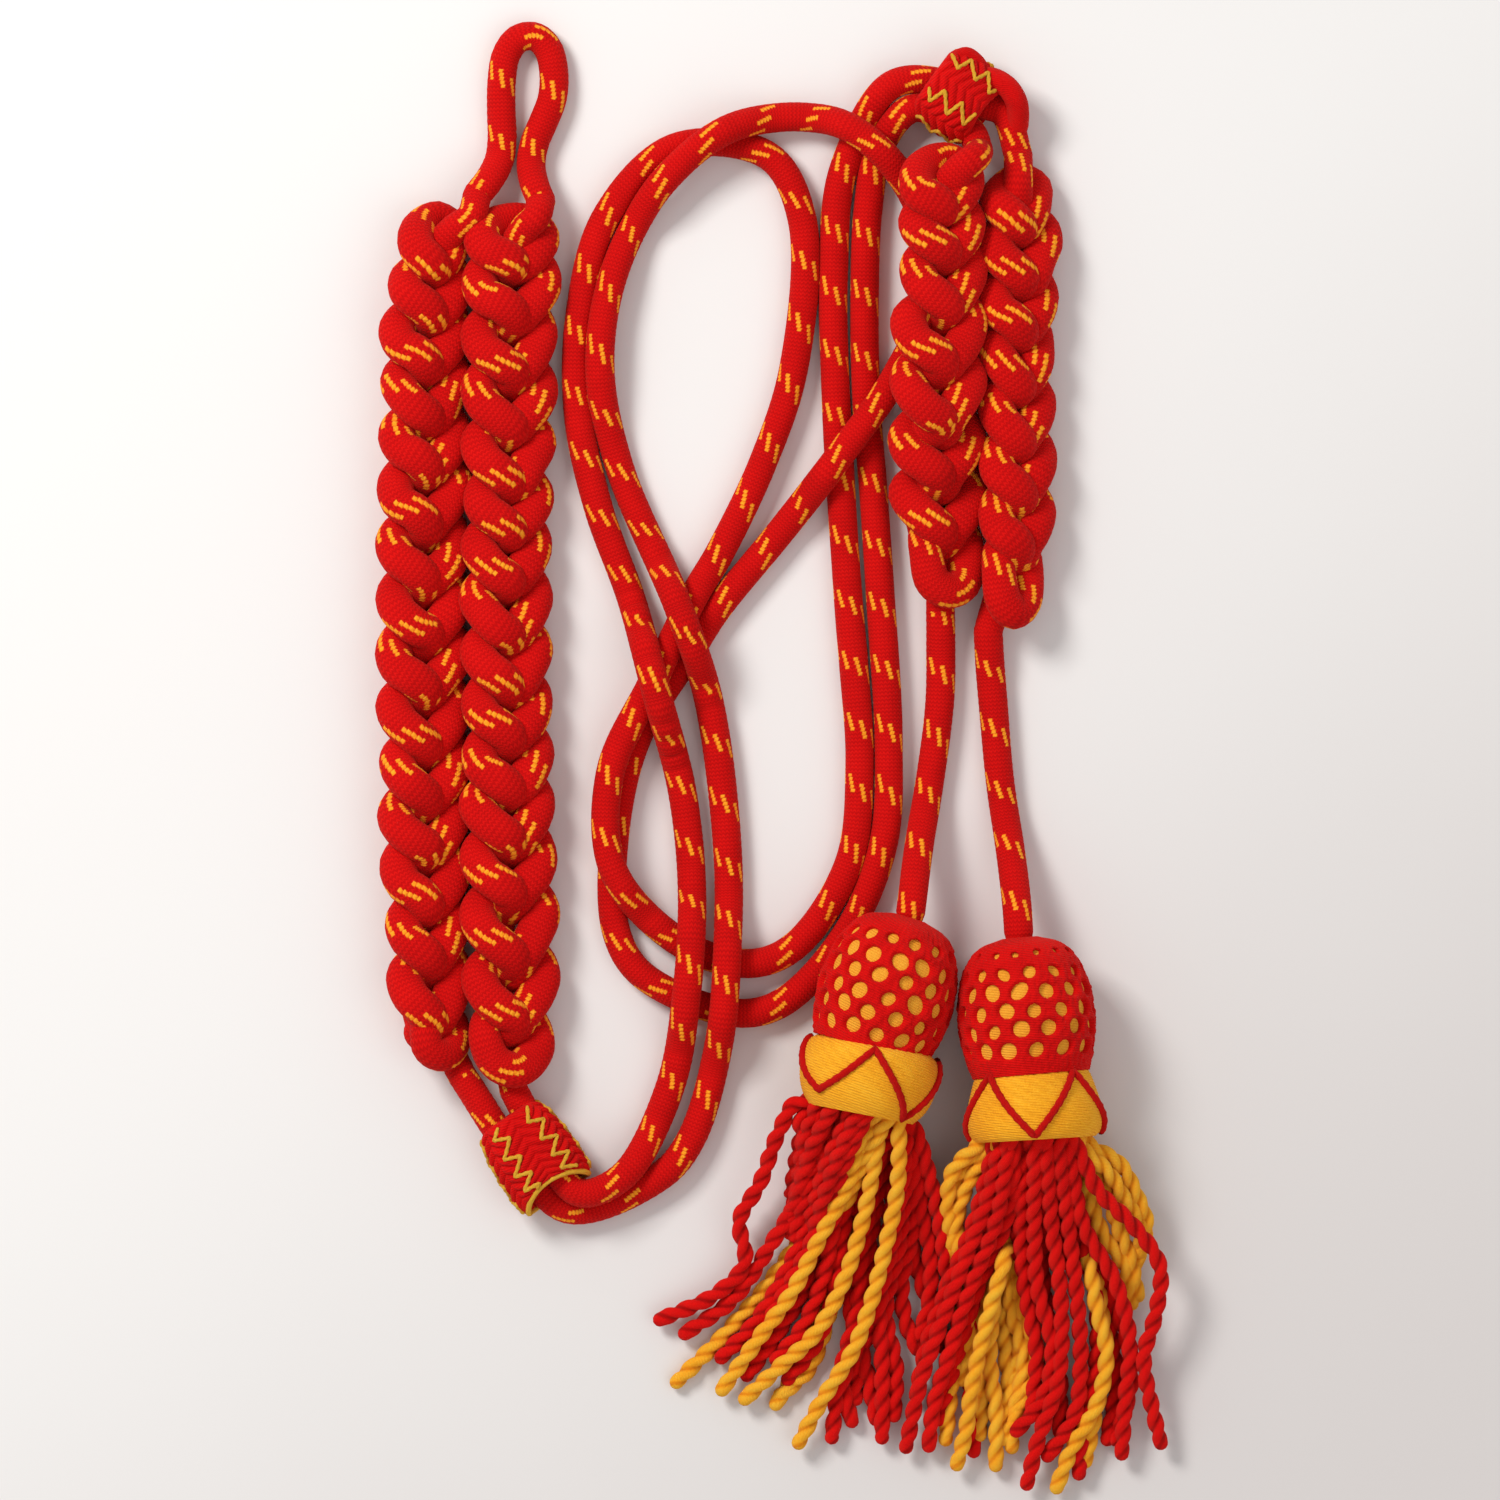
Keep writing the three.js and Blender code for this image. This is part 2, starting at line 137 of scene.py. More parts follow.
# --------------------------------------------------------------- mesh helpers
def make_object(name, verts, faces, uvs=None, material=None, smooth=True):
    """verts in table mm; faces (n, 4) or list; uvs one pair for each face corner."""
    mesh = bpy.data.meshes.new(name)
    verts = np.array(verts, float)
    verts[:, 2] = np.maximum(verts[:, 2], 0.02)          # soft yarn gives way where it rests
    mesh.from_pydata([tuple(v) for v in to_world(verts)], [], [tuple(int(i) for i in f) for f in faces])
    if uvs is not None:
        layer = mesh.uv_layers.new(name="along")
        layer.data.foreach_set("uv", np.asarray(uvs, np.float32).ravel())
    mesh.update()
    if smooth:
        mesh.polygons.foreach_set("use_smooth", [True] * len(mesh.polygons))
    obj = bpy.data.objects.new(name, mesh)
    bpy.context.scene.collection.objects.link(obj)
    if material is not None:
        mesh.materials.append(material)
    return obj


def sweep(line, sides, radius, start_v=0.0, roll=0.0, closed=False, round_ends=True, end_bulge=1.0, section=None):
    """Tube data along a line: radius(angle, distance) or a number, or section(directions, distance).
    Returns verts, faces and uvs with u in turns round the cord and v in millimetres along it."""
    line = np.asarray(line, float)
    s = distance_along(line)
    if closed:
        t = np.roll(line, -1, axis=0) - np.roll(line, 1, axis=0)
        t /= np.linalg.norm(t, axis=1)[:, None]
        n = np.cross(t, np.array([0, 0, 1.0]))
        bad = np.linalg.norm(n, axis=1) < 1e-6
        n[bad] = [1, 0, 0]
        n /= np.linalg.norm(n, axis=1)[:, None]
        b = np.cross(t, n)
    else:
        t, n, b = frames(line)
    a = 2 * np.pi * np.arange(sides) / sides
    if callable(radius):
        R = radius(a[None, :], s[:, None])
        R = np.broadcast_to(R, (len(line), sides)).copy()
    else:
        R = np.full((len(line), sides), float(radius))
    ca, sa = np.cos(a + roll), np.sin(a + roll)
    if section is not None:
        R = section(ca[None, :, None] * n[:, None] + sa[None, :, None] * b[:, None], s[:, None])
    rings = line[:, None] + R[..., None] * (ca[None, :, None] * n[:, None] + sa[None, :, None] * b[:, None])
    vv = start_v + s
    if round_ends and not closed:
        # three extra rings close each end in a rounded tip
        caps_a, caps_b, va, vb = [], [], [], []
        for k in (3, 2, 1):
            q = k * math.pi / 2 / 3.35
            caps_a.append(line[0] + (rings[0] - line[0]) * math.cos(q) - t[0] * R[0].mean() * math.sin(q) * end_bulge)
            va.append(vv[0] - R[0].mean() * math.sin(q))
        for k in (1, 2, 3):
            q = k * math.pi / 2 / 3.35
            caps_b.append(line[-1] + (rings[-1] - line[-1]) * math.cos(q) + t[-1] * R[-1].mean() * math.sin(q) * end_bulge)
            vb.append(vv[-1] + R[-1].mean() * math.sin(q))
        rings = np.concatenate([np.array(caps_a), rings, np.array(caps_b)])
        vv = np.concatenate([va, vv, vb])
    m = len(rings)
    verts = rings.reshape(-1, 3)
    i = np.arange(m if closed else m - 1)[:, None]
    j = np.arange(sides)[None, :]
    i2, j2 = (i + 1) % m, (j + 1) % sides
    quads = np.stack([i * sides + j + 0 * i, i * sides + j2, i2 * sides + j2, i2 * sides + j], axis=-1).reshape(-1, 4)
    u0 = (j / sides + 0 * i)
    u1 = ((j + 1) / sides + 0 * i)
    v0 = (vv[i] + 0.0 * j)
    vnext = np.where(i + 1 < m, vv[(i + 1) % m], vv[-1] + (np.linalg.norm(line[0] - line[-1]) if closed else 0))
    v1 = (vnext + 0.0 * j)
    uv = np.stack([np.stack([u0, v0], -1), np.stack([u1, v0], -1), np.stack([u1, v1], -1), np.stack([u0, v1], -1)], axis=2).reshape(-1, 4, 2)
    faces = [tuple(q) for q in quads]
    uvs = [tuple(c) for q in uv for c in q]
    if not closed:
        first = tuple(range(sides - 1, -1, -1))
        last = tuple((m - 1) * sides + k for k in range(sides))
        faces.append(first)
        uvs += [(k / sides, vv[0]) for k in first]
        faces.append(last)
        uvs += [(k / sides, vv[-1]) for k in range(sides)]
    return verts, faces, uvs


def join(parts):
    """Joins several (verts, faces, uvs) into one."""
    V, F, U, base = [], [], [], 0
    for v, f, u in parts:
        V.append(np.asarray(v))
        F += [tuple(i + base for i in q) for q in f]
        U += list(u)
        base += len(v)
    return np.vstack(V), F, U


# ------------------------------------------------------------------ materials
def nodes_of(name):
    mat = bpy.data.materials.new(name)
    mat.use_nodes = True
    tree = mat.node_tree
    tree.nodes.clear()
    out = tree.nodes.new("ShaderNodeOutputMaterial")
    bsdf = tree.nodes.new("ShaderNodeBsdfPrincipled")
    tree.links.new(bsdf.outputs[0], out.inputs[0])
    return mat, tree, bsdf


class Build:
    """Short words for the nodes that the fabrics share."""

    def __init__(self, tree):
        self.tree = tree

    def link(self, socket, value):
        if isinstance(value, (int, float)):
            socket.default_value = value
        elif isinstance(value, (tuple, list)):
            socket.default_value = value
        else:
            self.tree.links.new(value, socket)

    def math(self, op, a, b=None, c=None):
        node = self.tree.nodes.new("ShaderNodeMath")
        node.operation = op
        self.link(node.inputs[0], a)
        if b is not None:
            self.link(node.inputs[1], b)
        if c is not None:
            self.link(node.inputs[2], c)
        return node.outputs[0]

    def uv(self):
        node = self.tree.nodes.new("ShaderNodeUVMap")
        node.uv_map = "along"
        sep = self.tree.nodes.new("ShaderNodeSeparateXYZ")
        self.tree.links.new(node.outputs[0], sep.inputs[0])
        return sep.outputs[0], sep.outputs[1]

    def coords(self):
        return self.tree.nodes.new("ShaderNodeTexCoord").outputs["Object"]

    def combine(self, x, y, z):
        node = self.tree.nodes.new("ShaderNodeCombineXYZ")
        self.link(node.inputs[0], x)
        self.link(node.inputs[1], y)
        self.link(node.inputs[2], z)
        return node.outputs[0]

    def noise(self, vector, scale, detail=3.0, rough=0.55):
        node = self.tree.nodes.new("ShaderNodeTexNoise")
        node.inputs["Scale"].default_value = scale
        node.inputs["Detail"].default_value = detail
        node.inputs["Roughness"].default_value = rough
        self.link(node.inputs["Vector"], vector)
        return node.outputs["Fac"]

    def smoothstep(self, value, lo, hi, to_lo=0.0, to_hi=1.0):
        node = self.tree.nodes.new("ShaderNodeMapRange")
        node.interpolation_type = "SMOOTHSTEP"
        self.link(node.inputs["Value"], value)
        self.link(node.inputs["From Min"], lo)
        self.link(node.inputs["From Max"], hi)
        self.link(node.inputs["To Min"], to_lo)
        self.link(node.inputs["To Max"], to_hi)
        return node.outputs["Result"]

    def ramp(self, fac, stops):
        node = self.tree.nodes.new("ShaderNodeValToRGB")
        ramp = node.color_ramp
        while len(ramp.elements) < len(stops):
            ramp.elements.new(0.5)
        for e, (pos, colour) in zip(ramp.elements, stops):
            e.position = pos
            e.color = (*colour, 1.0)
        self.link(node.inputs[0], fac)
        return node.outputs[0]

    def mix(self, fac, a, b):
        node = self.tree.nodes.new("ShaderNodeMix")
        node.data_type = "RGBA"
        self.link(node.inputs[0], fac)
        for socket, value in ((node.inputs[6], a), (node.inputs[7], b)):
            if isinstance(value, tuple):
                socket.default_value = (*value, 1.0)
            else:
                self.tree.links.new(value, socket)
        return node.outputs[2]

    def bump(self, height, strength, distance):
        node = self.tree.nodes.new("ShaderNodeBump")
        node.inputs["Strength"].default_value = strength
        node.inputs["Distance"].default_value = distance
        self.link(node.inputs["Height"], height)
        return node.outputs[0]


RED_DARK = (0.40, 0.0015, 0.0015)
YELLOW_DARK = (0.74, 0.24, 0.008)
YELLOW = (0.94, 0.40, 0.014)
YELLOW_LIGHT = (1.0, 0.56, 0.045)
FLECKS_ROUND = 7                 # yellow carriers round the cord
FLECK_STEP = 2.14                # each fleck starts this much further along than its neighbour
FLECK_PERIOD = 15.0
FLECK_LENGTH = 4.7
WALES = 22                       # knitted columns round the cord
COURSE = 0.95                    # height of one knitted row


def soft(bsdf, sheen=0.09, sheen_tint=(1.0, 0.3, 0.2, 1.0), roughness=0.9):
    bsdf.inputs["Roughness"].default_value = roughness
    bsdf.inputs["Specular IOR Level"].default_value = 0.10
    bsdf.inputs["Sheen Weight"].default_value = sheen
    bsdf.inputs["Sheen Roughness"].default_value = 0.45
    bsdf.inputs["Sheen Tint"].default_value = sheen_tint


def cord_material(name, shift=0.0):
    mat, tree, bsdf = nodes_of(name)
    g = Build(tree)
    u, v = g.uv()
    obj = g.coords()
    # flecks: one for each of seven carriers, stepping round the cord in a helix
    lane = g.math("MULTIPLY", g.math("SUBTRACT", 1.0, u), FLECKS_ROUND)
    cell = g.math("FLOOR", lane)
    across = g.math("FRACT", lane)
    w = g.math("ADD", g.math("SUBTRACT", v, g.math("MULTIPLY", cell, FLECK_STEP)), shift + 3000.0)
    number = g.math("FLOOR", g.math("DIVIDE", w, FLECK_PERIOD))
    w = g.math("MODULO", w, FLECK_PERIOD)
    jitter = g.noise(g.combine(cell, number, 3.7), 1.37, 1.0)
    w = g.math("ADD", w, g.math("MULTIPLY", g.math("SUBTRACT", jitter, 0.5), 2.4))
    stitch = g.math("FLOOR", g.math("DIVIDE", w, FLECK_LENGTH / 5.0))
    along_stitch = g.math("FRACT", g.math("DIVIDE", w, FLECK_LENGTH / 5.0))
    lean = g.math("ADD", g.math("MULTIPLY", stitch, 0.070), g.math("MULTIPLY", along_stitch, -0.05))
    c = g.math("SUBTRACT", across, g.math("ADD", lean, 0.12))
    ragged = g.math("MULTIPLY", g.math("SUBTRACT", g.noise(obj, 1500.0, 2.0), 0.5), 0.16)
    c = g.math("ADD", c, ragged)
    inside = g.math("MULTIPLY", g.smoothstep(c, 0.0, 0.10), g.smoothstep(c, 0.31, 0.43, 1.0, 0.0))
    length = g.math("MULTIPLY", g.smoothstep(w, 0.0, 0.25), g.smoothstep(w, FLECK_LENGTH - 0.25, FLECK_LENGTH, 1.0, 0.0))
    gap = g.smoothstep(g.math("ABSOLUTE", g.math("SUBTRACT", along_stitch, 0.5)), 0.30, 0.5, 1.0, 0.60)
    fleck = g.math("MULTIPLY", g.math("MULTIPLY", inside, length), gap)
    # knit: rows of small V stitches; their hollows and the grooves between the columns also darken the red, as painted
    # shade
    wale = g.math("FRACT", g.math("MULTIPLY", u, WALES))
    vee = g.math("ABSOLUTE", g.math("SUBTRACT", g.math("MULTIPLY", wale, 2.0), 1.0))
    row = g.math("ADD", g.math("DIVIDE", v, COURSE), g.math("MULTIPLY", vee, 0.55))
    knit = g.math("SINE", g.math("MULTIPLY", row, 2 * math.pi))
    groove = g.smoothstep(vee, 0.80, 1.0, 1.0, 0.2)
    knit_height = g.math("MULTIPLY", g.math("ADD", g.math("MULTIPLY", knit, 0.5), 0.5), groove)
    fuzz = g.noise(obj, 2600.0, 4.0, 0.7)
    blotch = g.noise(obj, 95.0, 3.0, 0.6)
    # painted shade: the knit relief darkens the red in its hollows and in the grooves between its columns
    tone = g.math("ADD", g.math("MULTIPLY", knit_height, 0.36), g.math("MULTIPLY", fuzz, 0.30))
    tone = g.math("ADD", tone, g.math("MULTIPLY", blotch, 0.42))
    red = g.ramp(tone, [(0.22, (0.36, 0.0013, 0.0013)), (0.52, (0.55, 0.0022, 0.0022)), (0.86, (0.71, 0.006, 0.004))])
    yellow = g.ramp(g.math("ADD", g.math("MULTIPLY", along_stitch, 0.35), g.math("MULTIPLY", fuzz, 0.65)),
                    [(0.2, (0.76, 0.20, 0.008)), (0.5, (0.97, 0.33, 0.014)), (0.85, (1.0, 0.50, 0.045))])
    colour = g.mix(fleck, red, yellow)
    tree.links.new(colour, bsdf.inputs["Base Color"])
    height = g.math("ADD", g.math("MULTIPLY", knit_height, 0.6), g.math("MULTIPLY", fuzz, 0.5))
    height = g.math("ADD", height, g.math("MULTIPLY", fleck, 0.35))
    tree.links.new(g.bump(height, 0.55, 0.00035), bsdf.inputs["Normal"])
    soft(bsdf)
    return mat


STRAND_TWIST = 10.2               # length of one full turn of a strand's two plies


def yarn_material(name, stops, tint=(1.0, 0.3, 0.2, 1.0), plies=False):
    """Soft twisted yarn: fine fibres run along it at a slant, and the grooves between plies are painted darker as
    shade.
    """
    mat, tree, bsdf = nodes_of(name)
    g = Build(tree)
    u, v = g.uv()
    obj = g.coords()
    slant = g.math("ADD", g.math("MULTIPLY", u, 26.0), g.math("MULTIPLY", v, 1.7))
    strand = g.math("SINE", g.math("MULTIPLY", slant, 2 * math.pi))
    fuzz = g.noise(obj, 2300.0, 4.0, 0.7)
    blotch = g.noise(obj, 140.0, 2.0, 0.5)
    tone = g.math("ADD", g.math("MULTIPLY", fuzz, 0.50), g.math("MULTIPLY", blotch, 0.36))
    tone = g.math("ADD", tone, g.math("MULTIPLY", strand, 0.07))
    if plies:
        # painted shade: the grooves between the two plies are darkened in the colour
        turn = g.math("MULTIPLY", g.math("SUBTRACT", u, g.math("DIVIDE", v, STRAND_TWIST)), 2 * math.pi)
        ply = g.smoothstep(g.math("ABSOLUTE", g.math("COSINE", turn)), 0.0, 0.75, -0.30, 0.05)
        tone = g.math("ADD", tone, ply)
    colour = g.ramp(tone, stops)
    tree.links.new(colour, bsdf.inputs["Base Color"])
    height = g.math("ADD", g.math("MULTIPLY", strand, 0.25), fuzz)
    tree.links.new(g.bump(height, 0.75, 0.0004), bsdf.inputs["Normal"])
    soft(bsdf, sheen_tint=tint)
    return mat


RED_STOPS = [(0.24, (0.46, 0.0017, 0.0017)), (0.45, (0.67, 0.0027, 0.0027)), (0.72, (0.82, 0.007, 0.004))]
RED_TWIST = [(0.16, RED_DARK), (0.40, (0.70, 0.0026, 0.0026)), (0.64, (0.86, 0.007, 0.004))]
YELLOW_TWIST = [(0.15, (0.86, 0.26, 0.008)), (0.38, (1.0, 0.40, 0.014)), (0.64, (1.0, 0.56, 0.045))]
THREAD_STOPS = [(0.20, (0.96, 0.42, 0.02)), (0.45, (1.0, 0.54, 0.04)), (0.72, (1.0, 0.66, 0.08))]
YELLOW_STOPS = [(0.22, YELLOW_DARK), (0.42, YELLOW), (0.70, YELLOW_LIGHT)]
CORD = cord_material("flecked_cord")
CORD_B = cord_material("flecked_cord_b", 6.3)
RED_YARN = yarn_material("red_yarn", RED_STOPS)
YELLOW_YARN = yarn_material("yellow_yarn", YELLOW_STOPS, tint=(1.0, 0.8, 0.4, 1.0))
RED_STRAND = yarn_material("red_strand", RED_TWIST, plies=True)
YELLOW_THREAD = yarn_material("yellow_thread", THREAD_STOPS, tint=(1.0, 0.8, 0.4, 1.0))
YELLOW_STRAND = yarn_material("yellow_strand", YELLOW_TWIST, tint=(1.0, 0.8, 0.4, 1.0), plies=True)
CORE_YARN = yarn_material("core_yarn", [(0.22, (0.70, 0.27, 0.015)), (0.45, (0.91, 0.40, 0.032)), (0.75, (1.0, 0.53, 0.06))],
                          tint=(1.0, 0.8, 0.4, 1.0))

# ------------------------------------------------------------- free cords
CORDS = {
    "cord_run_right": {
        "plan": [
            (-74.6, -73.9), (-61.3, -93.8), (-49.0, -106.3), (-27.0, -98.3), (-19.4, -89.2), (-12.7, -66.2),
            (-10.6, -42.3), (-10.7, -18.3), (-15.3, 17.3), (-22.8, 40.1), (-36.8, 73.3), (-41.4, 96.8),
            (-37.8, 120.4), (-26.4, 141.4), (-7.3, 155.6), (16.1, 155.9), (33.5, 139.8), (39.1, 116.9),
            (30.1, 95.1), (16.3, 75.5), (1.5, 56.6), (-13.7, 38.0), (-20.1, 27.8), (-32.6, 7.4),
            (-37.9, -16.0), (-37.4, -39.6), (-31.1, -49.7), (-9.3, -58.8), (2.3, -56.5), (17.9, -39.9),
            (27.0, -17.9), (28.3, 6.1), (26.3, 42.0), (24.7, 66.0), (22.9, 89.9), (22.5, 113.9),
            (23.4, 136.0), (26.2, 150.5), (34.0, 159.6), (43.0, 157.0), (48.2, 153.8), (50.0, 149.0),
        ],
        "height": [
            (0, 7.0), (16, 7.6), (36, 6.0), (46, 3.7), (94, 3.9), (110, 10.7), (122, 10.6), (140, 3.6), (184, 4.0),
            (188, 5.5), (200, 13.4), (204, 14.5), (210, 13.2), (222, 5.2), (228, 3.6), (250, 3.5), (274, 7.6),
            (290, 6.8), (306, 4.2), (319, 8.4), (336, 10.6), (352, 5.0), (358, 5.0), (370, 10.7), (378, 10.9),
            (398, 3.5), (428, 3.5), (434, 4.6), (446, 10.0), (466, 9.9), (478, 4.5), (484, 3.5), (858, 3.9),
            (868, 6.4), (880, 6.6), (892, 9.6),
        ],
    },
    "cord_run_left": {
        "plan": [
            (-62.2, -77.4), (-53.8, -93.1), (-46.4, -102.0), (-35.7, -97.9), (-24.6, -77.0), (-20.4, -53.5),
            (-19.2, -29.5), (-21.5, -5.7), (-27.4, 17.5), (-33.7, 40.7), (-41.8, 63.2), (-46.8, 86.5),
            (-46.2, 110.4), (-40.0, 133.5), (-23.4, 150.3), (-0.8, 148.3), (7.4, 132.9), (5.4, 97.1),
            (-2.0, 74.3), (-12.3, 52.7), (-18.4, 42.4), (-28.8, 20.8), (-38.9, -0.9), (-38.0, -24.5),
            (-22.1, -41.8), (-5.2, -46.9), (5.8, -42.5), (18.7, -22.7), (21.3, 1.0), (19.9, 25.0),
            (18.9, 36.9), (17.2, 60.8), (15.3, 96.7), (15.0, 120.7), (17.3, 144.5), (28.6, 165.0),
            (39.5, 166.1), (50.2, 160.7), (56.1, 158.5), (59.5, 148.3),
        ],
        "height": [
            (0, 7.0), (28, 9.7), (40, 8.6), (58, 3.5), (68, 3.5), (74, 4.5), (86, 10.2), (92, 11.0), (102, 10.2),
            (114, 4.5), (120, 3.5), (144, 4.2), (148, 6.0), (152, 8.9), (156, 12.4), (160, 15.3), (166, 16.4),
            (172, 14.7), (180, 8.5), (184, 5.7), (188, 4.1), (435, 3.9), (453, 7.9), (465, 9.3), (495, 9.2),
            (515, 10.3), (519, 9.7), (531, 4.5), (537, 3.5), (773, 3.9), (783, 6.4), (827, 7.0),
        ],
    },
    "hanging_loop": {
        "plan": [
            (-70.9, 138.6), (-68.2, 142.1), (-65.8, 147.1), (-65.1, 152.4), (-65.3, 159.2), (-65.2, 166.4),
            (-64.1, 172.7), (-61.2, 176.6), (-57.1, 177.1), (-54.0, 174.2), (-52.6, 168.4), (-53.0, 162.1),
            (-55.2, 156.3), (-57.3, 151.2), (-58.1, 145.9), (-57.1, 140.9), (-55.6, 137.2),
        ],
        "height": [(0, 8.5), (14, 3.6), (18, 3.5), (80, 3.5), (84, 3.6), (97, 8.0)],
    },
    "tassel_cord_left": {
        "plan": [(40.8, 38.0), (40.9, 31.3), (40.7, 16.8), (38.3, -2.5), (35.4, -19.4), (33.4, -34.4)],
        "height": [(0, 5.6), (12, 3.5), (40, 3.5), (73, 15.2)],
    },
    "tassel_cord_right": {
        "plan": [(52.3, 33.2), (52.7, 26.4), (53.5, 16.8), (55.2, -2.5), (57.6, -19.4), (59.0, -32.7), (59.4, -39.2)],
        "height": [(0, 5.6), (12, 3.5), (40, 3.5), (73, 15.2)],
    },
}


def knitted(a, s):
    """A cord's radius: faint knitted rows, and a very slight unevenness."""
    return CORD_R + 0.035 * np.cos(2 * np.pi * s / (2 * COURSE)) + 0.05 * np.sin(s / 11.0 + 2 * np.sin(s / 37.0)) + 0.0 * a


pieces = []
START_V = {"cord_run_right": 4.0, "cord_run_left": 11.0, "hanging_loop": 6.0, "tassel_cord_left": 2.0, "tassel_cord_right": 9.0}
ROLL = {"cord_run_right": 0.3, "cord_run_left": 1.1, "hanging_loop": 2.0, "tassel_cord_left": 0.2, "tassel_cord_right": 0.6}
for name, table in CORDS.items():
    line = route(**table)
    verts, faces, uvs = sweep(resample(line, COURSE), 24, knitted, START_V[name], ROLL[name])
    piece = make_object(name + "_knit", verts, faces, uvs, CORD)
    path = to_world(resample(line, 3.0))
    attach(piece, "root")
    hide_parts(name)
    tuple(path[0])
    [tuple(p) for p in path]
    pieces.append(piece)

# ------------------------------------------------------------- chain plaits
# Stitch rows: y of the lobe's middle, x of the outer edge, z of the underside.
# ends: y where the plait's cords stop at the bottom and at the top.
PLAITS = {
    "long_plait_left": {
        "seam": -72.9, "side": -1, "ends": (-72.0, 137.0), "tail": [(-74.6, -73.9, 7.0)], "head": [(-70.9, 138.6, 8.5)],
        "stitches": [
            (127.6, -90.4, 0), (116.5, -92.1, 0), (104.4, -94.3, 0), (91.4, -94.0, 0), (79.3, -94.7, 0), (65.8, -95.2, 0),
            (52.3, -95.5, 0), (39.2, -95.5, 0), (26.0, -95.5, 0), (12.9, -95.5, 0), (-0.1, -94.5, 0), (-12.4, -95.0, 0),
            (-25.7, -94.3, 0), (-39.0, -93.3, 0), (-53.7, -92.6, 0), (-65.0, -88.5, 0),
        ],
    },
    "long_plait_right": {
        "seam": -74.2, "side": 1, "ends": (-75.3, 137.0), "tail": [(-62.2, -77.4, 7.0)], "head": [(-55.6, 137.2, 8.0)],
        "stitches": [
            (128.6, -50.8, 0), (115.8, -50.6, 0), (102.5, -51.1, 0), (89.2, -51.5, 0), (75.9, -52.0, 0), (64.6, -52.7, 0),
            (52.3, -53.0, 0), (39.0, -52.7, 0), (26.7, -52.7, 0), (14.4, -52.5, 0), (2.3, -52.3, 0), (-10.0, -52.0, 0),
            (-23.3, -51.5, 0), (-39.0, -51.1, 0), (-53.2, -51.1, 0), (-66.5, -52.0, 0),
        ],
    },
    "short_plait_left": {
        "seam": 51.2, "side": -1, "ends": (40.0, 150.5), "tail": [(40.8, 38.0, 5.6)], "head": [(50.0, 149.0, 9.6)],
        "stitches": [
            (141.6, 29.6, 8.4), (131.0, 30.3, 8.0), (118.0, 30.8, 7.6), (104.4, 28.6, 8.6),
            (90.6, 28.1, 8.0), (77.4, 28.1, 3.4), (63.9, 28.8, 0.3), (50.0, 31.5, 0),
        ],
    },
    "short_plait_right": {
        "seam": 50.2, "side": 1, "ends": (35.4, 146.0), "tail": [(52.3, 33.2, 5.6)], "head": [(59.5, 148.3, 7.0)],
        "stitches": [
            (137.6, 68.6, 0), (124.8, 70.1, 0), (112.3, 69.4, 0), (99.3, 68.6, 0),
            (85.8, 68.4, 0), (72.8, 68.9, 0), (60.0, 68.7, 0), (46.6, 66.0, 0),
        ],
    },
}
CHAIN_TURN = math.radians(27)     # the columns lie rolled a little to the right
CHAIN_DEPTH = 0.80                # how far the stitches stand apart from back to front
WIDE_R, THIN_R = 4.55, 3.45       # half widths of the soft cord where the stitches press it flat
# One stitch of the chain: x across, fraction of the pitch above the point of its V, z towards the front.
CHAIN_STITCH = [
    (-1.2, -0.16, -3.2), (-1.4, 0.05, 3.4), (-5.0, 0.23, 4.6), (-8.4, 0.44, 2.4), (-8.3, 0.75, -1.2), (-3.8, 1.02, -3.6),
    (3.0, 1.18, -3.8), (7.4, 1.04, -2.2), (8.2, 0.76, 0.8), (5.4, 0.42, 2.8), (2.2, 0.12, 2.0),
    (1.6, -0.16, -3.2), (0.8, 0.05, -7.4), (-0.8, 0.50, -7.4),
]
# The first stitch is an open U round the foot of the next one.
FIRST_STITCH = [
    (0.6, 0.90, -6.2), (-5.6, 1.00, -3.6), (-8.5, 0.62, 1.0), (-6.4, 0.14, 3.0), (-0.8, -0.04, 3.6), (5.0, 0.08, 3.0),
    (8.6, 0.50, 1.0), (7.6, 1.00, -2.4), (1.8, 1.10, -5.8),
]
# The last stitch is closed by the end of the cord, which comes up through it.
LAST_STITCH = CHAIN_STITCH[:11] + [(1.0, -0.04, -3.6), (-0.6, 0.24, -4.4)]
CLOSING = [(0.15, 0.58, 0.6), (0.50, 0.96, 3.4), (0.85, 1.22, 3.6)]      # part of the way to the head, pitch, z


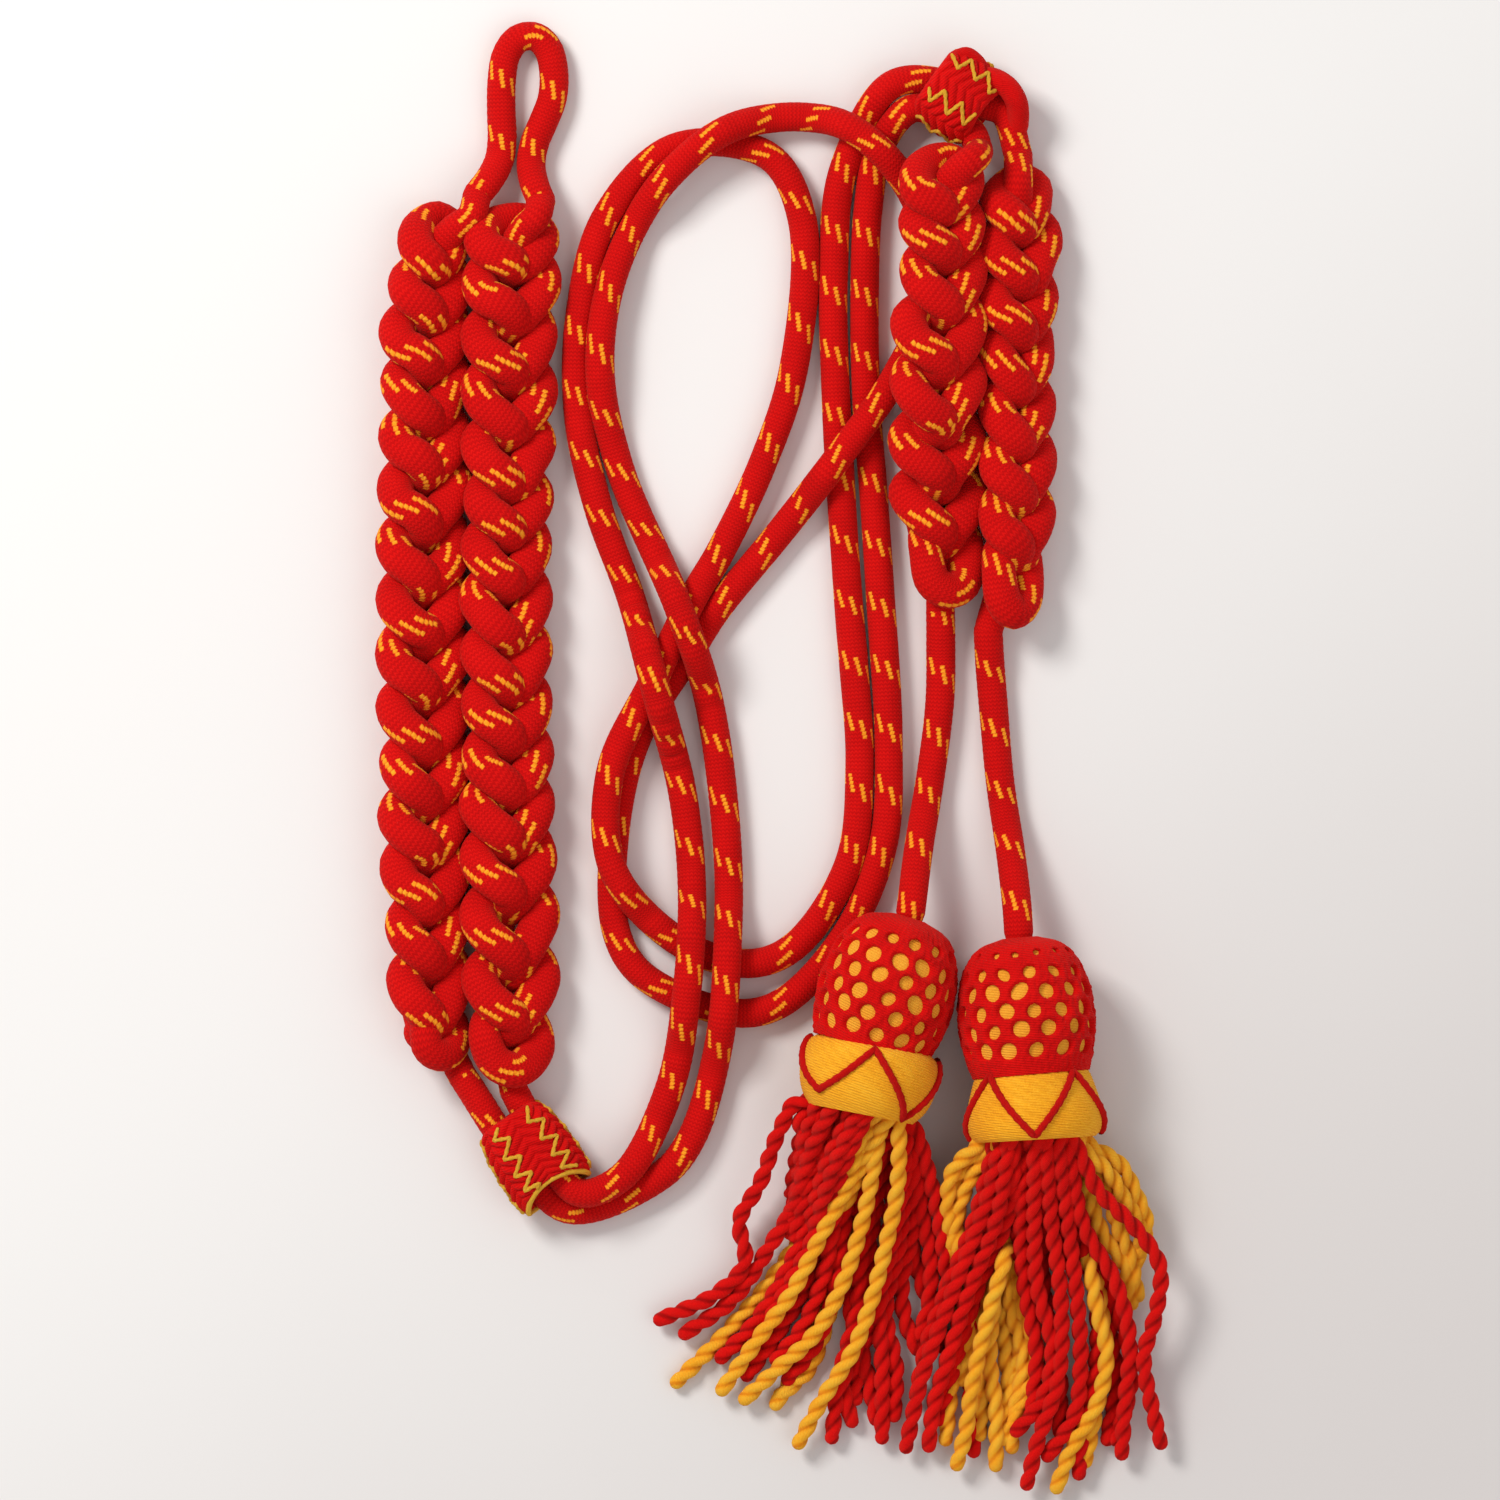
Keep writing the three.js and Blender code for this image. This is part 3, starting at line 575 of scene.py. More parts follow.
def chain_path(seam, side, ends, tail, head, stitches):
    """Centre line of one column, from its tail at the bottom to its head at the top."""
    rows = stitches[::-1]
    c, s = math.cos(CHAIN_TURN), math.sin(CHAIN_TURN)
    usual = np.array(CHAIN_STITCH)
    x_low = (usual[:, 0] * c + usual[:, 2] * s).min()
    x_high = (usual[:, 0] * c + usual[:, 2] * s).max()
    z_low = (-usual[:, 0] * s + usual[:, 2] * c).min()
    lobe = np.array([r[0] for r in rows])
    points_y = lobe - 7.4
    points_y[0] = ends[0] + CORD_R + 0.2
    points_y = np.append(points_y, points_y[-1] + 12.8)
    out = [np.array(t, float) for t in tail]
    n = len(rows)
    for i, (y, outer, base) in enumerate(rows):
        template = FIRST_STITCH if i == 0 else LAST_STITCH if i == n - 1 else CHAIN_STITCH
        pitch = points_y[i + 1] - points_y[i]
        if i == n - 1:
            pitch = min(pitch, (ends[1] - WIDE_R - points_y[i]) / 1.16)
        lo, hi = (outer, seam) if side < 0 else (seam, outer)
        lo, hi = lo + WIDE_R - (0.1 if side < 0 else 0.7), hi - WIDE_R + (0.7 if side < 0 else 0.1)
        squeeze = 0.92 if i in (0, n - 1) else 1.0
        for tx, ty, tz in template:
            rx, rz = tx * c + tz * s, -tx * s + tz * c
            x = lo + (rx - x_low) / (x_high - x_low) * (hi - lo)
            x = (lo + hi) / 2 + (x - (lo + hi) / 2) * squeeze
            low = base + CORD_R + 0.05
            z = low + (rz - z_low) * CHAIN_DEPTH
            jog = 0.22 * RNG.normal(size=3)
            out.append(np.array([x + jog[0], points_y[i] + ty * pitch + jog[1], max(z + jog[2], low)]))
        if i == n - 1:
            middle = (lo + hi) / 2
            for part, ty, tz in CLOSING:
                z = base + CORD_R + 0.05 + (tz * c - z_low) * CHAIN_DEPTH
                out.append(np.array([middle + part * (head[0][0] - middle), points_y[i] + ty * pitch, z]))
    out += [np.array(t, float) for t in head]
    line = resample(catmull(np.array(out), 12), 1.0)
    line[:, 2] = np.maximum(line[:, 2], CORD_R + 0.05)
    return line


def pressed(length):
    """Section of the plaited cord: wider across than from front to back, round again at its two ends."""
    def section(directions, s):
        wide = np.clip(np.minimum((s - 12) / 34.0, (length - s - 6) / 22.0), 0, 1)
        wide = wide * wide * (3 - 2 * wide)
        flat = 1 - directions[..., 2] ** 2
        return CORD_R + wide * ((THIN_R - CORD_R) + (WIDE_R - THIN_R) * flat) + 0.03 * np.cos(2 * np.pi * s / (2 * COURSE))
    return section


plait_length = {}
for k, (name, table) in enumerate(PLAITS.items()):
    line = chain_path(**table)
    plait_length[name] = float(distance_along(line)[-1])
    verts, faces, uvs = sweep(line, 22, CORD_R, 5.0 * k, 0.7 * k, section=pressed(plait_length[name]))
    piece = make_object(name + "_chain", verts, faces, uvs, CORD if k % 2 else CORD_B)
    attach(piece, "root")
    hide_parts(name)
    pieces.append(piece)
print("cord in the plaits, mm:", {k: round(v) for k, v in plait_length.items()})


# --------------------------------------------------------------- placed frames
def lay_frame(origin, z, aim, rise):
    """Axes of a turned piece: its own y along aim, its z as near up as it can be."""
    along = np.array([aim[0], aim[1], rise], float)
    along /= np.linalg.norm(along)
    up = np.array([0, 0, 1.0]) - along * along[2]
    up /= np.linalg.norm(up)
    across = np.cross(along, up)
    o = np.array([origin[0], origin[1], z], float)

    def place(p):
        p = np.asarray(p, float)
        return o + p[..., 0:1] * across + p[..., 1:2] * along + p[..., 2:3] * up
    return place


# -------------------------------------------------------------- slide knots
SLEEVES = {
    "slide_knot_a": {"start": (-63.9, -83.6), "end": (-51.3, -102.2), "turn": 0.42, "rise": 0.10, "cut": 4.2,
                     "profile": [(0, 7.0), (1.2, 8.1), (4.0, 9.2), (9.0, 10.0), (15.5, 10.3), (20.5, 10.1), (22.6, 9.6)]},
    "slide_knot_b": {"start": (38.7, 167.0), "end": (52.0, 157.4), "turn": 0.35, "rise": 0.0, "cut": 1.6,
                     "profile": [(0, 8.0), (1.2, 9.2), (4.5, 10.2), (8.5, 10.5), (12.5, 10.0), (15.2, 8.9), (16.4, 7.9)]},
}
SLEEVE_FLATTEN = 0.803
SLEEVE_Z = 7.9
ZIGZAGS = 6                      # yellow zigzags round the barrel
ZIGZAG_PERIOD = 5.2
ZIGZAG_SWING = 0.21              # part of one of the six lanes


def sleeve_parts(profile, turn, cut):
    last = profile[-1][0]
    bulge = catmull(np.array(profile, float), 8)

    def barrel(s):
        return np.interp(s, bulge[:, 0], bulge[:, 1])
    S = np.linspace(0, last, int(last / 0.2))
    R = barrel(S)
    around = 216
    lane = np.arange(around) / around * ZIGZAGS * 2          # twelve half lanes of opposite slant
    half = np.floor(lane)
    f = lane - half
    sign = np.where(half % 2 == 0, 1.0, -1.0)
    # braid ribs: parallel slanted bands in each half lane, V shaped where two lanes meet
    phase = S[:, None] / (ZIGZAG_PERIOD / 2) + (sign * (f - 0.5) * 1.1)[None, :]
    rib = np.abs(np.sin(np.pi * phase)) ** 0.7
    edge = 1 - 0.55 * (np.abs(f - 0.5) * 2)[None, :] ** 5
    relief = 1.15 * rib * edge - 0.95
    end = np.clip(np.minimum(S, last - S) / 1.6, 0, 1)
    relief = relief * end[:, None] - 1.0 * (1 - np.sqrt(np.clip(1 - (1 - end) ** 2, 0, 1)))[:, None]
    a = 2 * np.pi * (np.arange(around) / around) + turn
    rr = R[:, None] + relief

    def mouth(s, q):
        """The front of the wide mouth is drawn back, so that the bore shows."""
        return s - cut * np.clip(np.cos(q), 0, 1) ** 1.3 * (s / last) ** 4
    outer = np.stack([rr * np.sin(a), mouth(np.repeat(S[:, None], around, 1), a[None, :]), rr * np.cos(a) * SLEEVE_FLATTEN], -1)
    inner_s = np.linspace(last - 0.5, 0.5, 12)
    ri = np.interp(inner_s, [0, 3, last - 3, last], [profile[0][1] - 1.6, 7.2, 7.4, profile[-1][1] - 1.5])[:, None] + np.zeros((1, around))
    inner = np.stack([ri * np.sin(a), mouth(np.repeat(inner_s[:, None], around, 1), a[None, :]), ri * np.cos(a) * SLEEVE_FLATTEN], -1)
    rings = np.concatenate([outer, inner])
    m = len(rings)
    V = rings.reshape(-1, 3)
    F, U = [], []
    for i in range(m):
        i2 = (i + 1) % m
        for j in range(around):
            j2 = (j + 1) % around
            F.append((i * around + j, i2 * around + j, i2 * around + j2, i * around + j2))
            v0, v1 = float(i) * 0.2, float(i + 1) * 0.2
            U += [(j / around, v0), (j / around, v1), ((j + 1) / around, v1), ((j + 1) / around, v0)]
    # the yellow tracer threads, one along every second meeting of the lanes
    threads = []
    for z in range(ZIGZAGS):
        s = np.arange(1.3, last - 1.1, 0.16)
        ph = s / ZIGZAG_PERIOD + 0.17 * z
        tri = 2 * np.abs(2 * (ph - np.floor(ph + 0.5))) - 1        # -1..1 zigzag
        aa = turn + 2 * np.pi * ((z + tri * ZIGZAG_SWING) / ZIGZAGS)
        sk = s + 0.55 * tri                                       # one leg of each V is the longer
        r = barrel(sk) + 0.05 + 0.18 * np.cos(2 * np.pi * 2 * ph)
        threads.append(sweep(np.stack([r * np.sin(aa), mouth(sk, aa), r * np.cos(aa) * SLEEVE_FLATTEN], -1), 8,
                             lambda q, d: 0.47 * (1 + 0.16 * np.cos(2 * q - d * 2 * np.pi / 1.9))))
    if cut < 3:
        return (V, F, U), join(threads)
    # a thread round the rim of the wide mouth
    q = np.linspace(0, 2 * np.pi, 90, endpoint=False)
    r = profile[-1][1] - 0.95
    threads.append(sweep(np.stack([r * np.sin(q), mouth(np.full_like(q, last - 0.1), q), r * np.cos(q) * SLEEVE_FLATTEN], -1), 8, 0.72, closed=True))
    return (V, F, U), join(threads)


for name, table in SLEEVES.items():
    x0, y0 = table["start"]
    x1, y1 = table["end"]
    place = lay_frame((x0, y0), SLEEVE_Z + (0.4 if table["rise"] else 0.6), (x1 - x0, y1 - y0), table["rise"])
    (V, F, U), (TV, TF, TU) = sleeve_parts(table["profile"], table["turn"], table["cut"])
    V, TV = place(V), place(TV)
    V[:, 2], TV[:, 2] = np.maximum(V[:, 2], 0.05), np.maximum(TV[:, 2], 0.1)
    if name == "slide_knot_b":
        # one turn of the braid stands up over the upper edge
        fold = resample(catmull(np.array([(42.8, 168.6, 9.4), (44.4, 170.9, 10.6), (46.8, 172.1, 11.0), (49.2, 170.6, 10.4), (50.8, 168.4, 9.2)]), 10), 0.5)
        fv, ff, fu = sweep(fold, 16, 2.0)
        rim = resample(catmull(np.array([(51.4, 166.9, 9.6), (54.2, 166.0, 11.6), (57.0, 164.0, 12.3), (58.9, 160.9, 11.7), (59.4, 157.8, 10.0), (59.3, 155.2, 8.2)]), 10), 0.5)
        rv, rf, ru = sweep(rim, 16, 2.7)
        V, F, U = join([(V, F, U), (fv, ff, fu), (rv, rf, ru)])
    body = make_object(name + "_weave", V, F, U, RED_YARN)
    thread = make_object(name + "_zigzag", TV, TF, TU, YELLOW_THREAD)
    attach(body, "root")
    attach(thread, "root")
    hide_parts(name)
    pieces += [body, thread]

# ------------------------------------------------------------------- acorns
ACORN_RISE = 0.04
ACORN_Z = 15.8
HEAD_LENGTH = 32.8
HEAD_PROFILE = [(4.4, 0), (10.2, 1.9), (13.8, 5.8), (16.0, 11.5), (16.9, 17.5), (16.9, 22.0), (16.1, 27.3), (14.4, HEAD_LENGTH)]
ACORNS = {
    "left": {
        "top": (33.0, -35.6), "aim": (-0.289, -0.957), "first_row": 6.35, "middle": -1.6, "lace": -45.0, "shallow": 3.0, "collar_aim": (-0.194, -0.981), "shift": 0.9,
        "collar": [(13.6, 0), (15.2, 1.2), (16.2, 3.4), (16.6, 7.0), (16.1, 11.0), (14.7, 14.4), (12.4, 17.2)],
    },
    "right": {
        "top": (59.5, -40.4), "aim": (0.088, -0.996), "first_row": 4.2, "middle": -5.9, "lace": 2.5, "shallow": 0.0, "collar_aim": (0.06, -0.998), "shift": 0.2,
        "collar": [(12.9, 0), (14.0, 2.2), (15.2, 6.0), (16.2, 10.2), (16.3, 13.4), (15.3, 16.0), (13.2, 17.6)],
    },
}
NET_HOLES = 14                   # holes in one row round the head
NET_ROW = 4.55                   # from one row of holes to the next
HOLE = (2.02, 1.80)              # half width and half height of a hole
LACE_TURNS = 4


def profile_radius(profile, s):
    line = resample(catmull(np.array([(p[1], p[0]) for p in profile], float), 12), 0.25)
    return np.interp(s, line[:, 0], line[:, 1])


def revolve(S, R, around):
    """R has one row for each S; closed on the axis at both ends."""
    a = 2 * np.pi * np.arange(around) / around
    V = np.stack([R * np.sin(a), np.repeat(S[:, None], around, 1), R * np.cos(a)], -1)
    m = len(S)
    verts = np.vstack([V.reshape(-1, 3), [[0, S[0], 0]], [[0, S[-1], 0]]])
    F, U = [], []
    for i in range(m - 1):
        for j in range(around):
            j2 = (j + 1) % around
            F.append((i * around + j, (i + 1) * around + j, (i + 1) * around + j2, i * around + j2))
            U += [(j / around, S[i]), (j / around, S[i + 1]), ((j + 1) / around, S[i + 1]), ((j + 1) / around, S[i])]
    for j in range(around):
        j2 = (j + 1) % around
        F.append((m * around, j, j2))
        U += [(0, S[0]), (j / around, S[0]), ((j + 1) / around, S[0])]
        F.append((m * around + 1, (m - 1) * around + j2, (m - 1) * around + j))
        U += [(0, S[-1]), ((j + 1) / around, S[-1]), (j / around, S[-1])]
    return verts, F, U


def net_shell(rng, first_row, middle):
    """The net as one skin with rounded cords, sunk below the wound ball at each hole."""
    around = 350
    S = np.linspace(0.0, HEAD_LENGTH + 0.2, 108)
    R = profile_radius(HEAD_PROFILE, S)
    a = 2 * np.pi * np.arange(around) / around
    slope = np.gradient(R, S)
    stretch = np.sqrt(1 + np.clip(slope, -3, 3) ** 2)
    near = np.full((len(S), around), 9.0)
    for j in range(-1, 8):
        s_j = first_row + NET_ROW * j
        if s_j < 3.0 or s_j > HEAD_LENGTH - 2.5:
            continue
        for k in range(NET_HOLES):
            q = 2 * np.pi * (k + 0.5 * (j % 2 == 0)) / NET_HOLES + math.radians(middle)
            size = rng.normal(1.0, 0.07) * (0.45 if s_j < 5.5 else 0.78 if s_j < 9 else 1.0)
            dq = (a - q + np.pi) % (2 * np.pi) - np.pi
            s_k = s_j + 0.22 * rng.normal()
            lat = (R[:, None] * dq[None, :] + 0.2 * rng.normal()) / (HOLE[0] * size)
            ver = ((S - s_k) * stretch)[:, None] / (HOLE[1] * size)
            lean = 0.30 * rng.normal()
            near = np.minimum(near, np.sqrt(lat ** 2 + ver ** 2 + lean * lat * ver))
    e = (near - 1) * 2.0
    crest = np.sqrt(np.clip(1 - (1 - np.clip(e / 0.95, 0, 1)) ** 2, 0, 1))
    grain = rng.normal(size=near.shape)
    for axis in (0, 1):                                  # smoothed to lumps about a millimetre across
        grain = (np.roll(grain, 1, axis) + grain + np.roll(grain, -1, axis)) / 3 * 1.5
    thread = 0.07 * np.cos(52 * a[None, :] + 1.3 * np.sin(S[:, None])) + 0.11 * grain
    h = np.where(e < 0, -2.4 - 0.4 * np.clip(-e / 0.4, 0, 1), -2.1 + 1.75 * crest + thread * crest)
    v, f, u = revolve(S, np.clip(R[:, None] + h, 3.0, None), around)
    return v, f, u


for side, acorn in ACORNS.items():
    place = lay_frame(acorn["top"], ACORN_Z, acorn["aim"], ACORN_RISE)
    rng = np.random.default_rng(5 if side == "left" else 9)
    # wound ball under the net
    S = np.linspace(0.6, HEAD_LENGTH - 0.2, 50)
    a = 2 * np.pi * np.arange(96) / 96
    R = (profile_radius(HEAD_PROFILE, S) - 1.75)[:, None] + 0.08 * np.cos(24 * a[None, :] + 0.3 * S[:, None])
    R[0] *= 0.4
    v, f, u = revolve(S, np.clip(R, 0.5, None), 96)
    core = make_object(f"acorn_core_{side}", place(v), f, u, CORE_YARN)
    nv, nf, nu = net_shell(rng, acorn["first_row"], acorn["middle"])
    net = make_object(f"acorn_net_{side}", place(nv), nf, nu, RED_YARN)
    # collar of fine wound thread, which sits on the head's lower end
    foot = place(np.array([[-acorn["shift"], HEAD_LENGTH - 1.2, 0.0]]))[0]
    around_collar = lay_frame(foot[:2], foot[2], acorn["collar_aim"], ACORN_RISE)
    S = np.linspace(0, 17.0, 132)
    a = 2 * np.pi * np.arange(112) / 112
    R = profile_radius(acorn["collar"], S)[:, None] + 0.13 * np.abs(np.sin(np.pi * (S[:, None] + 0.35 * np.sin(a[None, :] + 1.0) + 0.12 * np.sin(3 * a[None, :])) / 0.78))
    v, f, u = revolve(S, R, 112)
    v = around_collar(v)
    v[:, 2] = np.maximum(v[:, 2], 0.3)
    collar = make_object(f"acorn_wrap_{side}", v, f, u, YELLOW_YARN)
    # red lacing in large Vs over the collar
    q = np.linspace(0, 2 * np.pi, LACE_TURNS * 50, endpoint=False)
    ph = (q - math.radians(acorn["lace"])) / (2 * np.pi) * LACE_TURNS
    tri = 1 - 2 * np.abs(2 * (ph - np.floor(ph + 0.5)))       # 1 at the low points
    # the left acorn's outer V is the shallower one
    q_outer = (q - math.radians(acorn["lace"] + 90) + np.pi) % (2 * np.pi) - np.pi
    s = 8.6 + tri * (7.7 - acorn["shallow"] * np.exp(-(q_outer / 0.45) ** 2))
    r = profile_radius(acorn["collar"], np.clip(s, 0, 17)) + 0.45
    lace_line = around_collar(np.stack([r * np.sin(q), s, r * np.cos(q)], -1))
    lace_line[:, 2] = np.maximum(lace_line[:, 2], 1.0)          # pressed into the collar where it rests
    lv, lf, lu = sweep(lace_line, 8, lambda aa, ss: 0.85 * (1 + 0.12 * np.cos(2 * aa - ss * 2 * np.pi / 2.4)), closed=True)
    lace = make_object(f"acorn_lace_{side}", lv, lf, lu, RED_YARN)
    for piece, slot in ((core, "yellow_yarn"), (net, "red_yarn"), (collar, "yellow_yarn"), (lace, "red_yarn")):
        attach(piece, "root")
        pieces.append(piece)
    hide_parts(f"acorn_head_{side}")
    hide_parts(f"acorn_collar_{side}")

# ------------------------------------------------------------------ fringes
# colour, layer (0 lies on the surface, 6 on top), and the strand's way in plan from collar to tip
FRINGES = {
    "left": [
        ("red", 3, [(4.8, -80.7), (1.1, -88.5), (-2.8, -99.6), (-7.8, -108.8), (-6.4, -118.9), (-13.4, -126.6), (-26.9, -132.9)]),
        ("red", 2, [(6.9, -82.7), (7.4, -100.1), (-0.4, -115.0), (-9.5, -128.1), (-20.9, -136.3)]),
        ("red", 2, [(9.0, -83.6), (10.3, -103.9), (4.0, -120.3), (-4.2, -133.9), (-12.1, -142.1)]),
        ("red", 1, [(11.5, -84.6), (11.9, -103.9), (8.8, -123.2), (1.1, -136.8), (-5.9, -146.4)]),
        ("yellow", 0, [(12.7, -88.5), (8.8, -108.8), (0.1, -123.2), (-13.4, -138.7), (-22.9, -148.1)]),
        ("yellow", 4, [(21.6, -87.0), (18.9, -98.1), (12.2, -111.6), (4.9, -126.1), (-2.8, -136.8), (-11.9, -149.8)]),
        ("yellow", 4, [(25.7, -87.5), (22.3, -106.8), (17.0, -124.2), (10.3, -136.3), (1.1, -145.0), (-6.4, -152.0)]),
        ("yellow", 5, [(30.5, -87.0), (30.2, -100.1), (27.0, -116.5), (23.1, -131.0), (19.4, -140.6), (12.7, -151.2), (6.6, -162.6)]),
        ("yellow", 0, [(20.4, -94.3), (16.5, -113.6), (12.2, -131.0), (5.9, -145.4), (1.1, -153.4)]),
        ("yellow", 0, [(22.3, -94.3), (17.5, -113.6), (13.6, -132.9), (8.8, -145.4), (2.1, -151.2)]),
        ("red", 3, [(16.3, -85.6), (15.6, -103.0), (12.7, -121.3), (7.4, -134.8), (1.1, -142.5)]),
        ("red", 2, [(18.5, -88.5), (17.7, -106.8), (15.1, -126.1), (10.7, -138.7), (4.0, -147.4)]),
        ("red", 2, [(26.2, -92.3), (22.3, -113.6), (20.4, -131.0), (16.5, -146.4), (14.6, -161.4)]),
        ("red", 1, [(27.6, -92.3), (23.8, -113.6), (21.8, -131.0), (17.5, -148.3), (19.4, -157.5)]),
        ("red", 3, [(32.5, -89.4), (29.6, -111.6), (26.2, -128.1), (26.7, -144.5), (26.7, -161.4)]),
        ("red", 2, [(33.4, -89.4), (31.0, -113.6), (27.6, -131.0), (30.1, -144.5), (29.6, -156.1)]),
        ("red", 3, [(35.4, -88.5), (39.2, -103.0), (41.6, -116.5), (42.2, -126.1), (39.2, -133.9)]),
        ("red", 2, [(34.4, -89.4), (35.8, -103.9), (38.3, -118.4), (38.0, -129.0), (35.8, -136.8)]),
        ("red", 1, [(33.9, -92.3), (34.4, -109.7), (31.5, -124.2), (32.5, -133.9), (35.1, -140.1)]),
        ("red", 1, [(16.5, -90.4), (16.5, -109.7), (18.5, -128.1), (22.8, -144.5), (25.2, -157.0)]),
        ("red", 0, [(12.7, -88.5), (12.7, -105.9), (6.9, -123.2), (2.1, -132.9), (-2.8, -140.6)]),
        ("red", 0, [(30.1, -92.3), (28.1, -111.6), (26.2, -129.0), (21.4, -142.5), (20.4, -152.2)]),
        ("red", 4, [(11.2, -80.7), (12.7, -94.3), (11.2, -109.7), (4.9, -123.2), (-1.8, -134.8)]),
        ("red", 0, [(32.3, -90.4), (32.6, -105.9), (34.9, -119.4), (38.2, -130.0), (41.4, -139.6)]),
    ],
    "right": [
        ("red", 5, [(54.4, -91.6), (51.5, -103.9), (46.0, -119.4), (40.7, -133.9), (36.3, -146.4), (32.5, -163.6)]),
        ("red", 5, [(56.5, -91.6), (53.7, -108.8), (47.0, -127.1), (42.6, -141.6), (39.2, -153.2), (38.0, -163.3)]),
        ("red", 4, [(58.6, -92.3), (56.6, -107.8), (49.8, -124.2), (44.5, -139.6), (40.7, -151.2)]),
        ("red", 4, [(53.0, -92.3), (48.4, -109.7), (42.4, -125.2), (37.8, -137.7), (34.9, -151.2)]),
        ("red", 3, [(57.1, -93.3), (54.2, -110.7), (48.4, -129.0), (43.6, -145.4), (40.7, -157.0)]),
        ("red", 5, [(62.9, -91.6), (63.1, -109.7), (63.9, -124.2), (67.7, -139.6), (65.3, -152.2), (59.2, -159.7)]),
        ("red", 5, [(65.6, -91.6), (67.2, -108.8), (69.6, -127.1), (69.2, -146.4), (64.3, -161.9), (61.7, -172.5)]),
        ("red", 5, [(68.7, -91.6), (71.1, -108.8), (73.5, -127.1), (74.5, -142.5), (73.0, -156.1), (66.7, -165.7)]),
        ("red", 5, [(71.1, -91.6), (75.0, -109.7), (82.7, -123.2), (86.3, -137.7), (85.3, -152.2), (84.6, -165.2)]),
        ("red", 6, [(73.5, -91.2), (78.3, -101.0), (87.0, -109.7), (93.4, -119.4), (92.3, -131.9), (89.7, -141.6), (91.4, -152.2), (94.0, -162.6)]),
        ("red", 3, [(69.6, -94.3), (74.5, -111.6), (78.3, -129.0), (77.9, -147.4), (75.0, -159.9), (74.3, -170.1)]),
        ("red", 4, [(61.0, -93.3), (60.0, -109.7), (61.0, -125.2), (63.9, -140.6), (62.9, -154.1)]),
        ("red", 2, [(63.9, -94.3), (64.8, -111.6), (66.3, -129.0), (69.6, -145.4), (69.6, -159.9)]),
        ("red", 2, [(72.5, -94.3), (77.4, -111.6), (83.2, -129.0), (87.0, -146.4), (83.2, -161.9)]),
        ("red", 0, [(55.2, -96.2), (51.3, -115.5), (48.4, -134.8), (47.9, -152.2), (48.9, -164.8)]),
        ("red", 1, [(71.6, -96.2), (76.4, -113.6), (81.2, -131.0), (83.2, -148.3), (81.2, -161.9)]),
        ("yellow", 2, [(49.8, -91.6), (44.1, -100.1), (42.1, -108.8), (44.1, -119.4), (45.5, -131.0), (43.6, -147.4), (42.1, -161.9)]),
        ("yellow", 3, [(51.8, -92.3), (47.0, -100.1), (44.5, -109.7), (46.0, -119.4), (47.4, -132.9), (46.0, -147.4)]),
        ("yellow", 4, [(48.4, -91.2), (43.6, -96.2), (42.4, -103.9), (43.6, -113.6), (46.0, -123.2)]),
        ("yellow", 5, [(58.1, -108.8), (55.6, -119.4), (51.8, -132.9), (48.4, -148.3), (47.0, -159.0), (44.8, -167.8)]),
        ("yellow", 2, [(55.2, -113.6), (53.7, -128.1), (52.7, -141.6), (54.2, -155.1), (54.2, -168.1)]),
        ("yellow", 4, [(74.5, -109.7), (76.6, -119.4), (78.3, -130.0), (80.7, -139.6), (78.8, -152.2), (72.5, -163.8), (68.9, -173.4)]),
        ("yellow", 2, [(77.4, -113.6), (79.3, -128.1), (80.7, -142.5), (78.3, -155.1), (75.9, -167.2)]),
        ("yellow", 1, [(58.1, -113.6), (60.0, -129.0), (63.9, -140.6), (61.0, -151.2), (56.1, -161.9)]),
        ("yellow", 1, [(56.1, -113.6), (58.1, -131.0), (61.0, -142.5), (59.0, -154.1), (58.1, -163.8)]),
        ("yellow", 0, [(55.2, -113.6), (50.8, -128.1), (49.8, -141.6), (51.0, -152.2), (50.3, -160.9)]),
        ("yellow", 0, [(57.3, -112.6), (56.5, -128.1), (56.6, -141.6), (57.4, -150.2), (55.4, -158.0)]),
        ("yellow", 0, [(60.6, -113.6), (61.4, -128.1), (60.2, -139.6), (57.8, -147.4)]),
        ("yellow", 4, [(75.9, -90.4), (83.2, -94.3), (88.0, -103.0), (90.4, -109.7), (88.0, -119.4)]),
        ("yellow", 5, [(74.5, -91.4), (80.3, -96.2), (85.1, -103.9), (88.5, -109.7), (89.0, -116.5)]),
        ("yellow", 3, [(76.9, -92.3), (81.2, -102.0), (83.2, -109.7), (86.1, -116.5), (88.5, -127.1)]),
        ("yellow", 3, [(74.5, -94.3), (77.4, -105.9), (80.7, -113.6), (85.1, -119.4), (87.0, -129.0)]),
    ],
}
STRAND_R = 2.08                  # over both plies
COLLAR_END = HEAD_LENGTH + 15.0


def two_ply(a, s, start):
    """Outline of two plies lying side by side and twisting round each other."""
    c = np.abs(np.cos(a - 2 * np.pi * (s + start) / STRAND_TWIST))
    return STRAND_R * (0.50 + 0.50 * c ** 0.8)


